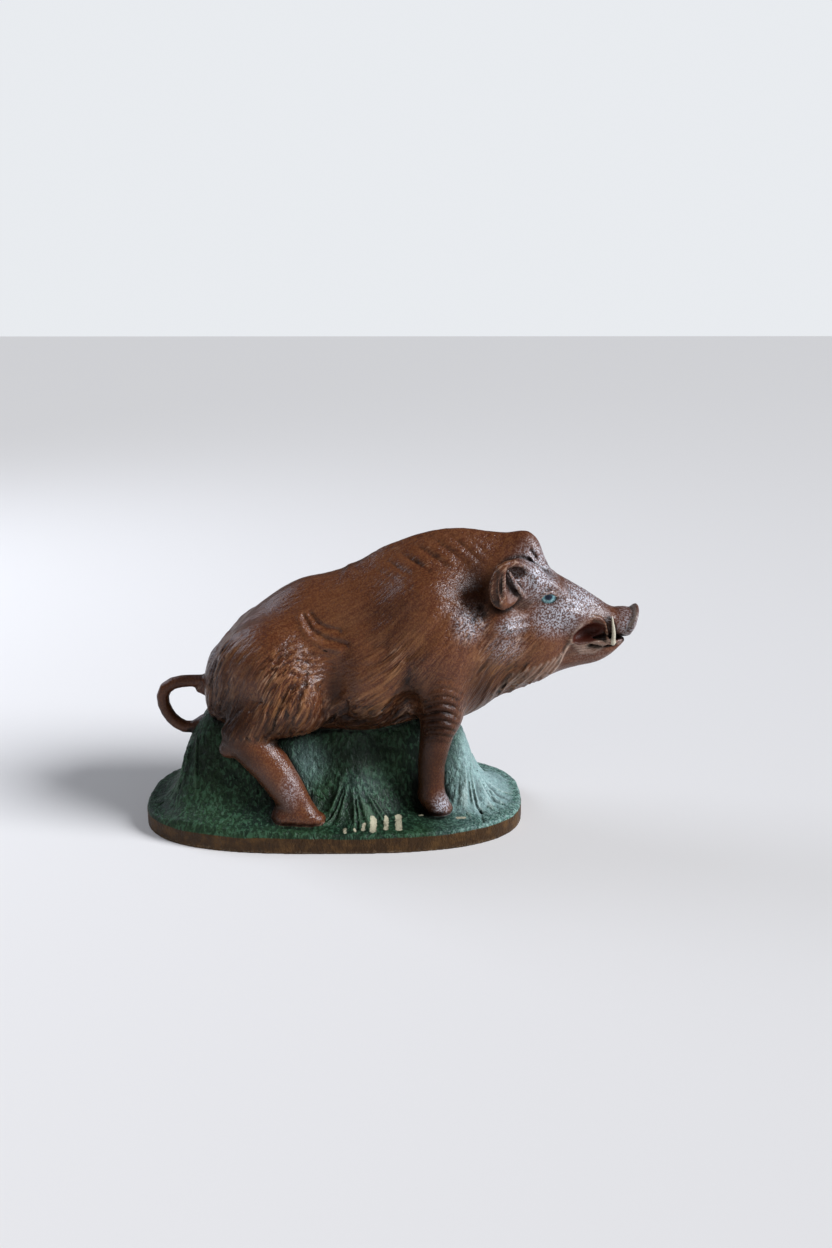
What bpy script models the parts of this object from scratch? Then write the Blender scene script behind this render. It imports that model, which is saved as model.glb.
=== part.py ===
"""A boar figurine, cast in plaster in one piece with its grassy mound and plinth, and painted.

Metres, +Z up. The boar looks along +X, and the origin is the middle of the plinth's underside.
The figure is modelled as a sculptor builds it in clay: plain forms are melted together, hollows
are cut, and then the coat, the creases and the grass are carved into the surface.
"""

import math
from collections import namedtuple

import bpy
import numpy as np
import openvdb

# Driving dimensions, in metres
FIGURE_LENGTH = 0.3025
PLINTH_LENGTH = 0.240
PLINTH_DEPTH = 0.125
PLINTH_HEIGHT = 0.011
PLINTH_EDGE_RADIUS = 0.0022

# The figure keeps its pose and proportions as shares of its length. Every place on it is a number
# of steps: x towards the snout, out from the middle plane, and z up from the top of the plinth.
STEPS_IN_LENGTH = 302.5
STEP = FIGURE_LENGTH / STEPS_IN_LENGTH

# The plinth's plan is a superellipse, between an ellipse (2) and a rectangle
PLAN_SQUARENESS = 2.75
# The clay is worked in cells of this many steps, and its locks of hair are this wide and deep
CLAY_CELL = 1.25
LOCK_WIDTH = 6.0
LOCK_DEPTH = 1.1
FACETS = 9900

NEAR, FAR = -1, 1

Form = namedtuple("Form", "low high distance")


# Small tools for the clay


def smooth_through(places, values, x):
    """A smooth curve through the given values, read at x, and level beyond its ends."""
    places = np.array(places, np.float32)
    values = np.array(values, np.float32)
    slopes = np.gradient(values, places)
    i = np.clip(np.searchsorted(places, x) - 1, 0, len(places) - 2)
    span = places[i + 1] - places[i]
    t = np.clip((x - places[i]) / span, 0, 1)
    rise = t * t * (3 - 2 * t)
    bend_in = t * (1 - t) ** 2 * span * slopes[i]
    bend_out = t * t * (1 - t) * span * slopes[i + 1]
    return values[i] + (values[i + 1] - values[i]) * rise + bend_in - bend_out


def joined(a, b, soft):
    """The union of two forms, with a fillet where they meet."""
    near = np.maximum(soft - np.abs(a - b), 0) / soft
    return np.minimum(a, b) - near * near * soft / 4


def cut(a, b, soft):
    """Form a with form b cut away, with a rounded lip."""
    return -joined(-a, b, soft)


def egg(centre, radii, turn=(0, 0, 0)):
    """An ellipsoid. Turn is in degrees about X, Y and Z."""
    angles = [math.radians(a) for a in turn]
    cx, sx = math.cos(angles[0]), math.sin(angles[0])
    cy, sy = math.cos(angles[1]), math.sin(angles[1])
    cz, sz = math.cos(angles[2]), math.sin(angles[2])
    about_x = np.array([[1, 0, 0], [0, cx, -sx], [0, sx, cx]])
    about_y = np.array([[cy, 0, sy], [0, 1, 0], [-sy, 0, cy]])
    about_z = np.array([[cz, -sz, 0], [sz, cz, 0], [0, 0, 1]])
    back = (about_z @ about_y @ about_x).T.astype(np.float32)

    def distance(x, y, z):
        x, y, z = x - centre[0], y - centre[1], z - centre[2]
        turned = [back[i, 0] * x + back[i, 1] * y + back[i, 2] * z for i in range(3)]
        inner = np.sqrt(sum((q / r) ** 2 for q, r in zip(turned, radii)))
        slope = np.sqrt(sum((q / r**2) ** 2 for q, r in zip(turned, radii)))
        return inner * (inner - 1) / np.maximum(slope, 1e-6)

    reach = max(radii)
    low = [c - reach for c in centre]
    high = [c + reach for c in centre]
    return Form(low, high, distance)


def limb(joints, flat=1.0):
    """A chain of round cones through joints (x, out, z, radius). Flat thickens it sideways."""

    def distance(x, y, z):
        nearest = None
        for (ax, ay, az, ar), (bx, by, bz, br) in zip(joints, joints[1:]):
            dx, dy, dz = bx - ax, (by - ay) / flat, bz - az
            px, py, pz = x - ax, (y - ay) / flat, z - az
            t = np.clip((px * dx + py * dy + pz * dz) / (dx * dx + dy * dy + dz * dz), 0, 1)
            off = np.sqrt((px - t * dx) ** 2 + (py - t * dy) ** 2 + (pz - t * dz) ** 2)
            here = off - (ar + t * (br - ar))
            nearest = here if nearest is None else np.minimum(nearest, here)
        return nearest * min(flat, 1.0)

    reach = [j[3] * max(flat, 1.0) for j in joints]
    low = [min(j[a] - r for j, r in zip(joints, reach)) for a in range(3)]
    high = [max(j[a] + r for j, r in zip(joints, reach)) for a in range(3)]
    return Form(low, high, distance)


def carcass(stations, squareness=2.0):
    """A body along X through stations (x, top, bottom, half width, taper).

    Taper narrows a section towards its top."""
    xs, tops, bottoms, widths, tapers = (np.array(c, float) for c in zip(*stations))

    def distance(x, y, z):
        top = smooth_through(xs, tops, x)
        bottom = smooth_through(xs, bottoms, x)
        half = np.maximum((top - bottom) / 2, 0.3)
        rise = (z - (top + bottom) / 2) / half
        taper = smooth_through(xs, tapers, x)
        width = smooth_through(xs, widths, x) * (1 - taper * np.clip(rise, -1, 1))
        width = np.maximum(width, 0.3)
        side, up = np.abs(y / width), np.abs(rise)
        inner = (side**squareness + up**squareness) ** (1 / squareness)
        slope = np.sqrt((side / width) ** 2 + (up / half) ** 2)
        slope = slope / np.maximum(np.sqrt(side**2 + up**2), 1e-6)
        here = (inner - 1) / np.maximum(slope, 1e-6)
        beyond = np.maximum(xs[0] - x, x - xs[-1])
        return np.maximum(here, beyond)

    low = [xs[0], -widths.max() * 1.4, bottoms.min()]
    high = [xs[-1], widths.max() * 1.4, tops.max()]
    return Form(low, high, distance)


def both_sides(form):
    """The form and its mirror image across the middle plane."""

    def distance(x, y, z):
        return form.distance(x, np.abs(y), z)

    out = max(form.high[1], -form.low[1])
    low = [form.low[0], -out, form.low[2]]
    high = [form.high[0], out, form.high[2]]
    return Form(low, high, distance)


def on_side(side, form, forward=0.0):
    """The form on one side of the middle plane, moved forward by some steps."""

    def distance(x, y, z):
        return form.distance(x - forward, y * side, z)

    edges = sorted((form.low[1] * side, form.high[1] * side))
    low = [form.low[0] + forward, edges[0], form.low[2]]
    high = [form.high[0] + forward, edges[1], form.high[2]]
    return Form(low, high, distance)


# The boar's forms, in steps

# Each station is (x, top, bottom, half width, how far the section narrows towards its top)
TORSO = (
    (-81.0, 82.0, 74.0, 4.0, 0.0),
    (-78.5, 91.0, 62.0, 16.0, 0.10),
    (-71.0, 102.3, 54.0, 26.0, 0.18),
    (-60.0, 114.8, 50.0, 32.0, 0.25),
    (-42.0, 130.3, 49.0, 36.0, 0.28),
    (-20.0, 143.8, 48.5, 37.0, 0.28),
    (0.0, 148.4, 49.5, 38.0, 0.28),
    (20.0, 154.6, 51.5, 40.0, 0.31),
    (40.0, 162.0, 58.0, 40.0, 0.33),
    (60.0, 168.0, 61.0, 38.0, 0.34),
    (80.0, 169.0, 58.0, 33.0, 0.32),
    (92.0, 167.0, 60.5, 29.0, 0.28),
    (104.0, 162.0, 68.5, 25.5, 0.22),
    (116.0, 155.0, 73.5, 21.0, 0.16),
    (126.0, 146.0, 80.0, 15.0, 0.10),
)
MANE = (
    (14.0, 148.0, 130.0, 3.0, 0.3),
    (26.0, 159.6, 128.0, 6.5, 0.3),
    (44.0, 168.2, 130.0, 8.5, 0.3),
    (62.0, 173.8, 134.0, 9.5, 0.3),
    (80.0, 175.6, 136.0, 10.5, 0.3),
    (97.0, 173.8, 138.0, 11.0, 0.3),
    (108.0, 173.0, 140.0, 11.5, 0.25),
    (116.0, 174.0, 142.0, 11.0, 0.2),
    (122.0, 172.8, 144.0, 10.0, 0.15),
    (127.5, 167.0, 144.0, 8.5, 0.1),
    (132.0, 155.5, 146.0, 5.0, 0.0),
)
MUZZLE = (
    (92.0, 150.0, 96.0, 18.0, 0.1),
    (104.0, 160.0, 90.0, 24.0, 0.12),
    (116.0, 157.5, 90.0, 24.5, 0.16),
    (126.0, 152.8, 92.0, 23.5, 0.18),
    (136.0, 148.4, 98.0, 20.5, 0.18),
    (146.0, 143.0, 102.0, 17.0, 0.16),
    (156.0, 137.4, 105.0, 14.4, 0.12),
    (166.0, 130.6, 106.5, 12.4, 0.06),
    (173.0, 126.2, 107.5, 11.2, 0.0),
    (179.0, 124.2, 108.0, 10.2, 0.0),
    (184.0, 124.0, 109.0, 9.6, 0.0),
)
JAW = (
    (108.0, 112.0, 71.5, 20.0, -0.1),
    (118.0, 112.0, 74.0, 19.0, -0.1),
    (127.0, 110.0, 77.5, 17.0, -0.1),
    (137.0, 109.0, 82.3, 14.5, -0.1),
    (147.0, 108.5, 86.2, 12.5, -0.1),
    (156.0, 107.5, 88.4, 11.2, -0.1),
    (165.0, 107.0, 90.4, 10.2, -0.1),
    (173.0, 106.8, 94.8, 8.8, -0.1),
    (179.0, 106.4, 100.5, 6.6, 0.0),
    (182.5, 105.8, 103.8, 3.0, 0.0),
)


def torso():
    shoulder = both_sides(egg((62, 23, 112), (27, 19, 38), (0, -12, 0)))
    belly = egg((27, 0, 86), (46, 39.5, 34))
    haunch = both_sides(egg((-36, 22, 88), (34, 20, 35), (0, 16, 0)))
    brisket = both_sides(egg((77.5, 15, 80), (14, 14, 22), (0, 22, 0)))
    return [
        (carcass(TORSO), 0.1),
        (belly, 14),
        (carcass(MANE), 9),
        (shoulder, 16),
        (haunch, 12),
        (brisket, 10),
    ]


def head():
    jowl = both_sides(egg((119, 14, 106), (25, 12.5, 25.5), (0, -12, 0)))
    ruff = both_sides(egg((100, 20, 116), (14, 12, 22), (0, 12, 0)))
    lip = both_sides(egg((147, 10.5, 113), (13, 6.8, 13), (0, -18, 0)))
    brow = both_sides(egg((134, 14.5, 143), (11, 6.5, 4.6), (0, 30, 0)))
    cheekbone = both_sides(egg((140, 13.5, 128), (16, 7, 8), (0, 22, 0)))
    lip_rim = both_sides(limb((
        (146.9, 17.2, 108.7, 1.2), (149.7, 16.8, 115.8, 1.2), (154.4, 15.4, 121.2, 1.3),
        (160, 13.8, 123.0, 1.3),
        (165, 13.0, 121.6, 1.3), (168, 12.8, 118.4, 1.2), (169.8, 12.6, 112, 1.1),
    )))
    lower_lip = both_sides(limb((
        (149.5, 12.6, 107.4, 0.9), (154.4, 12.8, 107.8, 1.3), (160.6, 12.0, 107.4, 1.4),
        (167, 11.4, 105.9, 1.5), (173, 10.4, 105.8, 1.5), (179, 7, 106.4, 1.5),
    )))
    snout = egg((181, 0, 117), (9, 10.4, 8.6), (0, 10, 0))
    rim = egg((186.0, 0, 117.6), (2.9, 12.2, 10.4), (0, 21, 0))
    return [
        (carcass(MUZZLE, 2.2), 9),
        (carcass(JAW, 2.2), 2.5),
        (jowl, 3),
        (ruff, 8),
        (lip, 4),
        (brow, 6),
        (cheekbone, 8),
        (snout, 3),
        (rim, 2.5),
        (lip_rim, 1.8),
        (lower_lip, 1.4),
    ]


def hind_leg(side, forward):
    thigh = limb(((-34, 26, 94, 24), (-20, 32, 78, 20.5), (-36, 36, 68, 15), (-56, 39, 58, 9)), 0.85)
    knee = egg((-21, 35, 73), (20, 13, 16), (0, -14, 0))
    hock = limb(((-46, 38, 62, 11), (-56, 39, 53.5, 8.4), (-62, 39, 47.6, 5.6)), 0.9)
    cannon = ((-47, 40, 49, 12.5), (-36, 42, 37, 12.0), (-27, 45, 24, 10.8), (-19.5, 47, 11.5, 9.4))
    cannon = limb(cannon, 0.85)
    foot = limb(((-29, 47, 7.0, 7.0), (-13, 48, 6.0, 6.6), (-8.5, 48, 4.6, 5.0)), 1.2)
    return [
        (on_side(side, thigh, forward), 7),
        (on_side(side, knee, forward), 7),
        (on_side(side, hock, forward), 4),
        (on_side(side, cannon, forward), 4),
        (on_side(side, foot, forward), 4),
    ]


def fore_leg(side, forward):
    upper = limb(((62, 26, 104, 20), (65, 31, 84, 15), (67, 32, 66, 12.2)), 0.9)
    lower = limb(((67, 32, 66, 12.2), (64, 31.5, 50, 9.8), (61.5, 31, 34, 8.4), (61.5, 31, 18, 8.0)), 0.95)
    foot = limb(((61.5, 31, 13, 8.4), (65, 31, 6.5, 8.2), (67.5, 31, 3.5, 7.0)), 1.1)
    return [
        (on_side(side, upper, forward), 8),
        (on_side(side, lower, forward), 4),
        (on_side(side, foot, forward), 3),
    ]


def armpits():
    hollow = both_sides(egg((44, 41, 66), (9, 13, 17), (0, 16, 0)))
    flank = both_sides(egg((3, 47, 88), (7, 9, 28), (0, 6, 0)))
    return [(hollow, 8), (flank, 10)]


def ears():
    ramp = both_sides(egg((120, 19, 146), (10, 7.2, 12), (0, 10, 0)))
    stalk = both_sides(egg((113, 22, 149), (10, 8, 13)))
    shell = both_sides(egg((105.4, 32.3, 148.4), (12.0, 5.8, 15.0), (0, 18, -32)))
    return [(ramp, 6), (stalk, 6), (shell, 2.5)]


def ear_hollows():
    bowl = both_sides(egg((111.6, 35.4, 148.5), (15.4, 5.6, 13.4), (0, 18, -32)))
    open_front = both_sides(egg((121, 32.5, 146), (8, 5.5, 12)))
    groove = both_sides(limb((
        (100.2, 38.6, 158.5, 1.3), (97.8, 40.0, 153, 2.2), (97.4, 40.0, 146, 2.4), (98.8, 39.0, 139.5, 1.8),
        (100.2, 38.0, 135.5, 1.1),
    )))
    top_hollow = both_sides(egg((112.6, 32.5, 154.6), (7.0, 8.0, 4.6), (0, 14, -25)))
    return [(bowl, 1.0), (open_front, 3), (groove, 0.8), (top_hollow, 1)]


def ear_folds():
    middle_fold = both_sides(limb((
        (103.6, 36.0, 160.5, 1.1), (103.2, 37.0, 153, 1.4), (103.4, 37.0, 146, 1.5),
        (103.6, 36.0, 139.5, 1.3),
        (103.4, 35.5, 134.8, 1.1),
    )))
    front_fold = both_sides(limb((
        (106.4, 35.0, 156.5, 1.0), (109.4, 34.0, 151.0, 1.4), (113.4, 31.0, 144.6, 1.6),
        (116.4, 27.5, 139.2, 1.2),
    )))
    top_rim = both_sides(limb((
        (99.5, 36.5, 159.8, 1.3), (104.1, 35.5, 161.6, 1.6), (109.4, 33, 162.2, 1.7),
        (115.3, 29, 159.7, 1.8),
        (118.9, 25.5, 156.1, 1.6),
    )))
    return [(middle_fold, 1.2), (front_fold, 1.6), (top_rim, 1.6)]


def tail_loop():
    """The tail curls out, round and back down to the mound."""
    middle_line = (
        (-72, 77.4), (-80, 77.8), (-90.3, 77.7), (-95.7, 77.4), (-101.4, 76.0), (-106.1, 72.8),
        (-108.3, 67.6), (-108.0, 62.2), (-106.2, 57.2), (-103.6, 52.9), (-100.0, 49.4), (-95.5, 46.8),
        (-89.6, 46.6), (-83, 51),
    )
    rod = limb([(x, 0, z, 3.9) for x, z in middle_line])
    web = limb(((-74, 0, 71, 6.5), (-84.5, 0, 72.2, 2.6)))
    return [(rod, 2), (web, 3)]


def tusks():
    tusk = both_sides(limb((
        (173.8, 12.6, 105.8, 1.4), (173.6, 13.8, 111.5, 1.3), (173.0, 14.2, 117, 1.1),
        (172.0, 13.8, 123.2, 0.6),
    )))
    stub = both_sides(limb(((169.6, 12.8, 109.8, 1.0), (173, 12.4, 106.2, 1.3), (179.5, 8.2, 106.8, 1.1))))
    return [(tusk, 0.6), (stub, 0.6)]


def eyes():
    ball = both_sides(egg((132.0, 19.0, 137.2), (5.6, 3.5, 3.7), (0, 6, -16)))
    upper_lid = both_sides(limb((
        (126.4, 22.4, 137.2, 0.7), (129.0, 22.6, 140.2, 0.9), (133.2, 21.6, 141.0, 1.0),
        (137.4, 20.2, 138.6, 0.9), (141.0, 19.2, 137.6, 0.6),
    )))
    return [(ball, 0.5), (upper_lid, 0.8)]


def head_hollows():
    socket = both_sides(egg((132.4, 24.4, 137.2), (6.6, 3.4, 4.5), (0, 6, -16)))
    mouth = both_sides(egg((158.3, 16.8, 112.9), (10.4, 9.0, 5.6), (0, -18, 0)))
    nostril = both_sides(egg((189.2, 4.6, 117.2), (3.0, 2.3, 2.7)))
    return [(socket, 1.4), (mouth, 1.0), (nostril, 1)]


# The ground. The mound's crest is (x, height), and its side wall stands so far out at each x.

MOUND = (
    (-119, 0.0), (-112, 1.6), (-106, 5.0), (-101, 11.0), (-97, 20.0), (-94.5, 30.0), (-92, 39.0),
    (-87, 48.0), (-80, 58.0), (-60, 62.0), (0, 58.0), (60, 58.0), (75, 52.0), (82, 43.0),
    (87, 29.0), (94, 14.0), (103, 5.5), (111, 2.0), (119, 0.0),
)
MOUND_WALL = ((-119, 30), (-60, 31), (-20, 31), (10, 27), (45, 20), (62, 17), (80, 19), (119, 26))
MOUND_STEEPNESS = 5

# A hummock of grass in front: (x, y) of its middle, half widths along and across, and height
HUMMOCK = (15, -30, 27, 27, 15)


def plinth_distance(x, y, z):
    long, deep = PLINTH_LENGTH / 2 / STEP, PLINTH_DEPTH / 2 / STEP
    edge, height = PLINTH_EDGE_RADIUS / STEP, PLINTH_HEIGHT / STEP
    n = PLAN_SQUARENESS
    side, up = np.abs(x) / long, np.abs(y) / deep
    inner = np.maximum((side**n + up**n) ** (1 / n), 1e-3)
    slope = np.hypot(side ** (n - 1) / long, up ** (n - 1) / deep) / inner ** (n - 1)
    plan = (inner - 1) / np.maximum(slope, 1e-3)
    outside, above = plan + edge, z + edge
    corner = np.hypot(np.maximum(outside, 0), np.maximum(above, 0))
    here = np.minimum(np.maximum(outside, above), 0) + corner - edge
    return np.maximum(here, -height - z)


def mound_height(x, y):
    crest = smooth_through([m[0] for m in MOUND], [m[1] for m in MOUND], x)
    wall = smooth_through([m[0] for m in MOUND_WALL], [m[1] for m in MOUND_WALL], x)
    middle_x, middle_y, long, deep, rise = HUMMOCK
    hummock = rise * bump(np.hypot((x - middle_x) / long, (y - middle_y) / deep), 0, 1)
    return crest / (1 + (np.abs(y) / wall) ** MOUND_STEEPNESS) + hummock


def mound_distance(x, y, z):
    probe = 0.5
    height = mound_height(x, y)
    run_x = (mound_height(x + probe, y) - mound_height(x - probe, y)) / (2 * probe)
    run_y = (mound_height(x, y + probe) - mound_height(x, y - probe)) / (2 * probe)
    return (z - height) / np.sqrt(1 + run_x**2 + run_y**2)


# Carving. Relief is in steps, outwards, at points on or near the surface.

RANDOM_BLOCK = np.random.default_rng(7).uniform(-1, 1, (32, 32, 32)).astype(np.float32)

# The way the hair lies: (x, z, degrees below the line back to the tail)
HAIR_LIES = (
    (-72, 88, 68), (-62, 110, 52), (-45, 90, 62), (-20, 82, 82), (-30, 62, 76), (-30, 128, 30),
    (0, 140, 22), (10, 112, 22), (0, 102, 6), (-14, 103, 12), (-27, 98, 48), (25, 76, 44),
    (40, 158, 34), (60, 125, 52), (66, 86, 80),
    (85, 115, 62), (86, 150, 48), (96, 170, 40), (92, 70, 60), (110, 92, 52), (122, 108, 46),
    (118, 162, 66), (128, 140, 20), (145, 132, -28), (168, 122, -22), (155, 96, 12),
)


def soft_noise(x, y, z):
    """Smooth random values from -1 to 1, with about one swing to each unit."""
    whole = [np.floor(q).astype(np.int32) for q in (x, y, z)]
    part = [q - w for q, w in zip((x, y, z), whole)]
    part = [p * p * (3 - 2 * p) for p in part]
    near = [w & 31 for w in whole]
    far = [(w + 1) & 31 for w in whole]
    total = 0
    for a in (0, 1):
        for b in (0, 1):
            for c in (0, 1):
                corner = [(far if k else near)[i] for i, k in enumerate((a, b, c))]
                share = [part[i] if k else 1 - part[i] for i, k in enumerate((a, b, c))]
                total = total + RANDOM_BLOCK[corner[0], corner[1], corner[2]] * share[0] * share[1] * share[2]
    return total


def hair_direction(places, slopes):
    x, _, z = places
    back, down, weights = 0.0, 0.0, 0.0
    for at_x, at_z, degrees in HAIR_LIES:
        weight = 1 / (120 + (x - at_x) ** 2 + (z - at_z) ** 2) ** 2
        back = back + weight * math.cos(math.radians(degrees))
        down = down + weight * math.sin(math.radians(degrees))
        weights = weights + weight
    back, down = back / weights, down / weights
    size = np.sqrt(sum(s * s for s in slopes)) + 1e-6
    nx, ny, nz = (s / size for s in slopes)
    into = -back * nx - down * nz
    lay = [-back - into * nx, -into * ny, -down - into * nz]
    size = np.sqrt(sum(q * q for q in lay)) + 1e-6
    return [q / size for q in lay]


def hair_locks(places, lay, width, length):
    """Rounded locks with a sharp furrow between them, from 0 in the furrow to 1."""
    samples = 7
    total, weights = 0.0, 0.0
    for k in range(-samples, samples + 1):
        share = 1 - abs(k) / (samples + 1)
        along = k / samples * length / 2
        total = total + share * soft_noise(*((p + along * d) / width for p, d in zip(places, lay)))
        weights += share
    spread = 0.26 * math.sqrt(width / length)
    return np.minimum(np.abs(total / weights) / spread, 1.0)


def bump(x, middle, reach):
    """One at the middle, and smoothly nothing beyond the reach."""
    t = np.clip(1 - np.abs((x - middle) / reach), 0, 1)
    return t * t * (3 - 2 * t)


def stroke_distance(x, z, points):
    nearest = np.full(x.shape, 1e3, np.float32)
    for (ax, az), (bx, bz) in zip(points, points[1:]):
        dx, dz = bx - ax, bz - az
        t = np.clip(((x - ax) * dx + (z - az) * dz) / (dx * dx + dz * dz), 0, 1)
        nearest = np.minimum(nearest, np.hypot(x - ax - t * dx, z - az - t * dz))
    return nearest


# The lower edge of the throat and jaw, as (x, z)
THROAT = ((80, 57), (92, 60), (104, 68), (116, 73.5), (127, 77.5), (137, 82), (148, 86), (160, 89))

FLANK_CREASES = (
    ((-11.4, 128.2), (-6.9, 123.3), (-1.6, 120.8), (6, 119.6)),
    ((-15.5, 127), (-10.4, 119.6), (-2, 115), (11, 112.6)),
)
# Broad valleys behind the neck and under the shoulder blade
VALLEYS = (
    ((80, 140), (52, 134), (26, 127), (8, 122)), ((74, 134), (62, 122), (48, 108), (44, 92)),
)
FLANK_RIDGE = ((-17.8, 126), (-12.6, 117), (-4, 111.6), (6, 109.4))
FLANK_FOLDS = (
    ((-16, 107), (0, 104.4)), ((-17, 103.4), (2, 101.4)), ((-16, 99.6), (2, 98.4)), ((-15, 95.8), (0, 95)),
)
FOREHEAD_PITS = (
    ((121.3, 163.4), (124.6, 159.2)), ((120.3, 158.2), (122.6, 154.2)), ((127, 150.9), (130.6, 150.9)),
)
NOSE_LINE = ((139.6, 131.6), (147, 130.4), (153.7, 128.6), (161.7, 127.9))
CHEEK_TUFT = (
    (118, 126.2), (111.5, 125.4), (106.6, 124.4), (105.4, 122.4), (108, 120.6), (113, 120.2), (119.5, 121),
)
CHEEK_FOLD = ((154.4, 121.5), (149.7, 115.8), (146.9, 108.7), (143.5, 101.7), (139.5, 93.9), (134.7, 88.4))


def creases(x, z):
    """Folds on the flank, pits on the forehead, and the lines of the nose, cheek and throat."""
    relief = 1.0 * np.exp(-((stroke_distance(x, z, FLANK_RIDGE) / 1.8) ** 2))
    for line in VALLEYS:
        relief = relief - 1.1 * np.exp(-((stroke_distance(x, z, line) / 5.0) ** 2))
    for line in FLANK_CREASES:
        relief = relief - 1.5 * np.exp(-((stroke_distance(x, z, line) / 1.4) ** 2))
    for line in FLANK_FOLDS:
        relief = relief - 0.6 * np.exp(-((stroke_distance(x, z, line) / 0.9) ** 2))
    for line in FOREHEAD_PITS:
        relief = relief - 1.7 * np.exp(-((stroke_distance(x, z, line) / 1.2) ** 2))
    relief = relief - 0.9 * np.exp(-((stroke_distance(x, z, NOSE_LINE) / 1.4) ** 2))
    relief = relief + 1.2 * np.exp(-((stroke_distance(x, z, CHEEK_TUFT) / 1.0) ** 2))
    relief = relief + 1.9 * np.exp(-((stroke_distance(x, z, CHEEK_FOLD) / 1.2) ** 2))
    return relief + ruff_strands(x, z)


def elbow_wrinkles(x, z):
    """Bowed ridges above the elbow, one below another, down to the middle of the foreleg."""
    middle = 66 + 0.08 * (z - 70)
    bowed = z + 0.04 * (x - middle) ** 2
    inside = np.sqrt(bump(x, middle, 17) * bump(bowed, 73, 26))
    return inside * (2.3 * np.abs(np.sin(math.pi * bowed / 5.2)) ** 0.8 - 1.5)


def ruff_strands(x, z):
    """Long strands that hang back along the lower edge of the cheek and throat."""
    edge = smooth_through([s[0] for s in THROAT], [s[1] for s in THROAT], x)
    across = 0.84 * x - 0.54 * z
    inside = bump(x, 114, 34) * np.clip((edge + 26 - z) / 12, 0, 1)
    sharp = 1 - np.abs(np.sin(math.pi * across / 5.4 + 0.8 * np.sin(z / 6) + 0.5 * np.sin(x / 4)))
    return 2.2 * inside * (sharp**1.6 - 0.2)


def mane_tufts(x, out, z, top):
    """Tufts lean back: each runs down and forwards from the crest."""
    low = top - z
    leaning = x - 1.3 * low
    swing = leaning / 9.5 + 0.35 * np.sin(leaning / 17.0)
    tuft = np.abs(np.sin(math.pi * swing)) ** 0.6 - 0.55
    inside = bump(x, 62, 50) * bump(low, 10, 13) * bump(out, 15, 15)
    return 2.0 * inside * tuft


def shaggy(x, z):
    """How deep the hair is: deep on the rump, thigh, belly, shoulder and ruff, shallow elsewhere."""
    rump = bump(x, -72, 30)
    thigh = bump(x, -28, 32) * np.clip((116 - z) / 16, 0, 1)
    belly = bump(x, 24, 46) * np.clip((88 - z) / 14, 0, 1)
    shoulder = 0.8 * bump(x, 42, 26) * bump(z, 102, 24)
    ruff = 0.5 * bump(x, 106, 32) * np.clip((126 - z) / 14, 0, 1)
    neck = 0.8 * bump(x, 84, 18) * bump(z, 124, 20)
    return 0.16 + 0.84 * np.maximum.reduce([rump, thigh, belly, shoulder, ruff, neck])


# Each fan of grass: (x, y of its root, compass from and to, reach in and out, blades, height)
GRASS_FANS = (
    (14.0, -30.0, -172.0, -8.0, 5.0, 31.0, 10, 1.9),
    (78.0, -2.0, -96.0, 8.0, 13.0, 40.0, 9, 1.7),
    (-84.0, -4.0, -178.0, -76.0, 12.0, 36.0, 9, 1.5),
    (24.0, 18.0, 42.0, 138.0, 12.0, 38.0, 9, 1.4),
)


def grass_blades(x, y):
    """Rounded blades, of uneven width and a little bent, that spread from the foot of each tuft."""
    relief = 0.0
    for at_x, at_y, start, stop, near, far, blades, height in GRASS_FANS:
        away = np.hypot(x - at_x, y - at_y)
        compass = np.degrees(np.arctan2(y - at_y, x - at_x))
        t = (compass - start) / (stop - start)
        turn = math.pi * (t * blades + 0.4 * np.sin(2.3 * blades * t) + 0.3 * np.sin(away / 6 + at_x))
        ripple = np.sin(turn) ** 2 - 0.5
        inside = np.clip(8 * t, 0, 1) * np.clip(8 * (1 - t), 0, 1)
        reach = far * (0.86 + 0.14 * np.sin(5.1 * blades * t))
        ends = np.clip((away - near) / 8, 0, 1) * np.clip((reach - away) / 5, 0, 1)
        relief = relief + height * ripple * inside * ends
    return relief


def boar_relief(places, slopes, lock_width, lock_depth):
    x, y, z = places
    out = np.abs(y)
    top = smooth_through([s[0] for s in MANE], [s[1] for s in MANE], x)
    lay = hair_direction(places, slopes)
    coat = 1 - bare_skin(x, out, z)
    locks = shaggy(x, z) * (hair_locks(places, lay, lock_width, 7 * lock_width) - 0.7)
    sideways = np.clip(np.abs(slopes[1]) * 1.6 - 0.3, 0, 1)
    carved = lock_depth * locks + mane_tufts(x, out, z, top) + sideways * creases(x, z)
    return coat * carved + sideways * elbow_wrinkles(x, z) + fringe(x, z)


def fringe(x, z):
    """The coat of the haunch ends above the shin in a step with a ragged edge."""
    edge = 57.5 + 1.3 * np.sin(1.25 * x) + 0.6 * np.sin(2.9 * x)
    return 1.1 * np.clip((z - edge) / 1.6, 0, 1) * bump(x, -38, 32) * np.clip((100 - z) / 30, 0, 1)


def bare_skin(x, out, z):
    """One on the smooth lower legs, tail, ears, eyes, lips and snout, and nothing on the coat."""
    legs = np.clip((57 - z) / 3, 0, 1)
    tail = np.clip((-78 - x) / 3, 0, 1)
    from_ear = np.sqrt(((x - 108) / 15) ** 2 + ((z - 150) / 16) ** 2 + ((out - 32) / 13) ** 2)
    ear = np.clip(1.5 - from_ear, 0, 0.5) * 2
    eye = np.clip(1.6 - np.sqrt(((x - 133.5) / 7) ** 2 + ((z - 136.8) / 5) ** 2), 0, 0.5) * 2
    mouth = np.clip(1.5 - np.sqrt(((x - 160) / 14) ** 2 + ((z - 113) / 11) ** 2), 0, 0.5) * 2
    snout = np.clip((x - 170) / 6, 0, 1)
    return np.maximum.reduce([legs, tail, ear, eye, mouth, snout])


# Melting the forms together, and carving them


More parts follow.
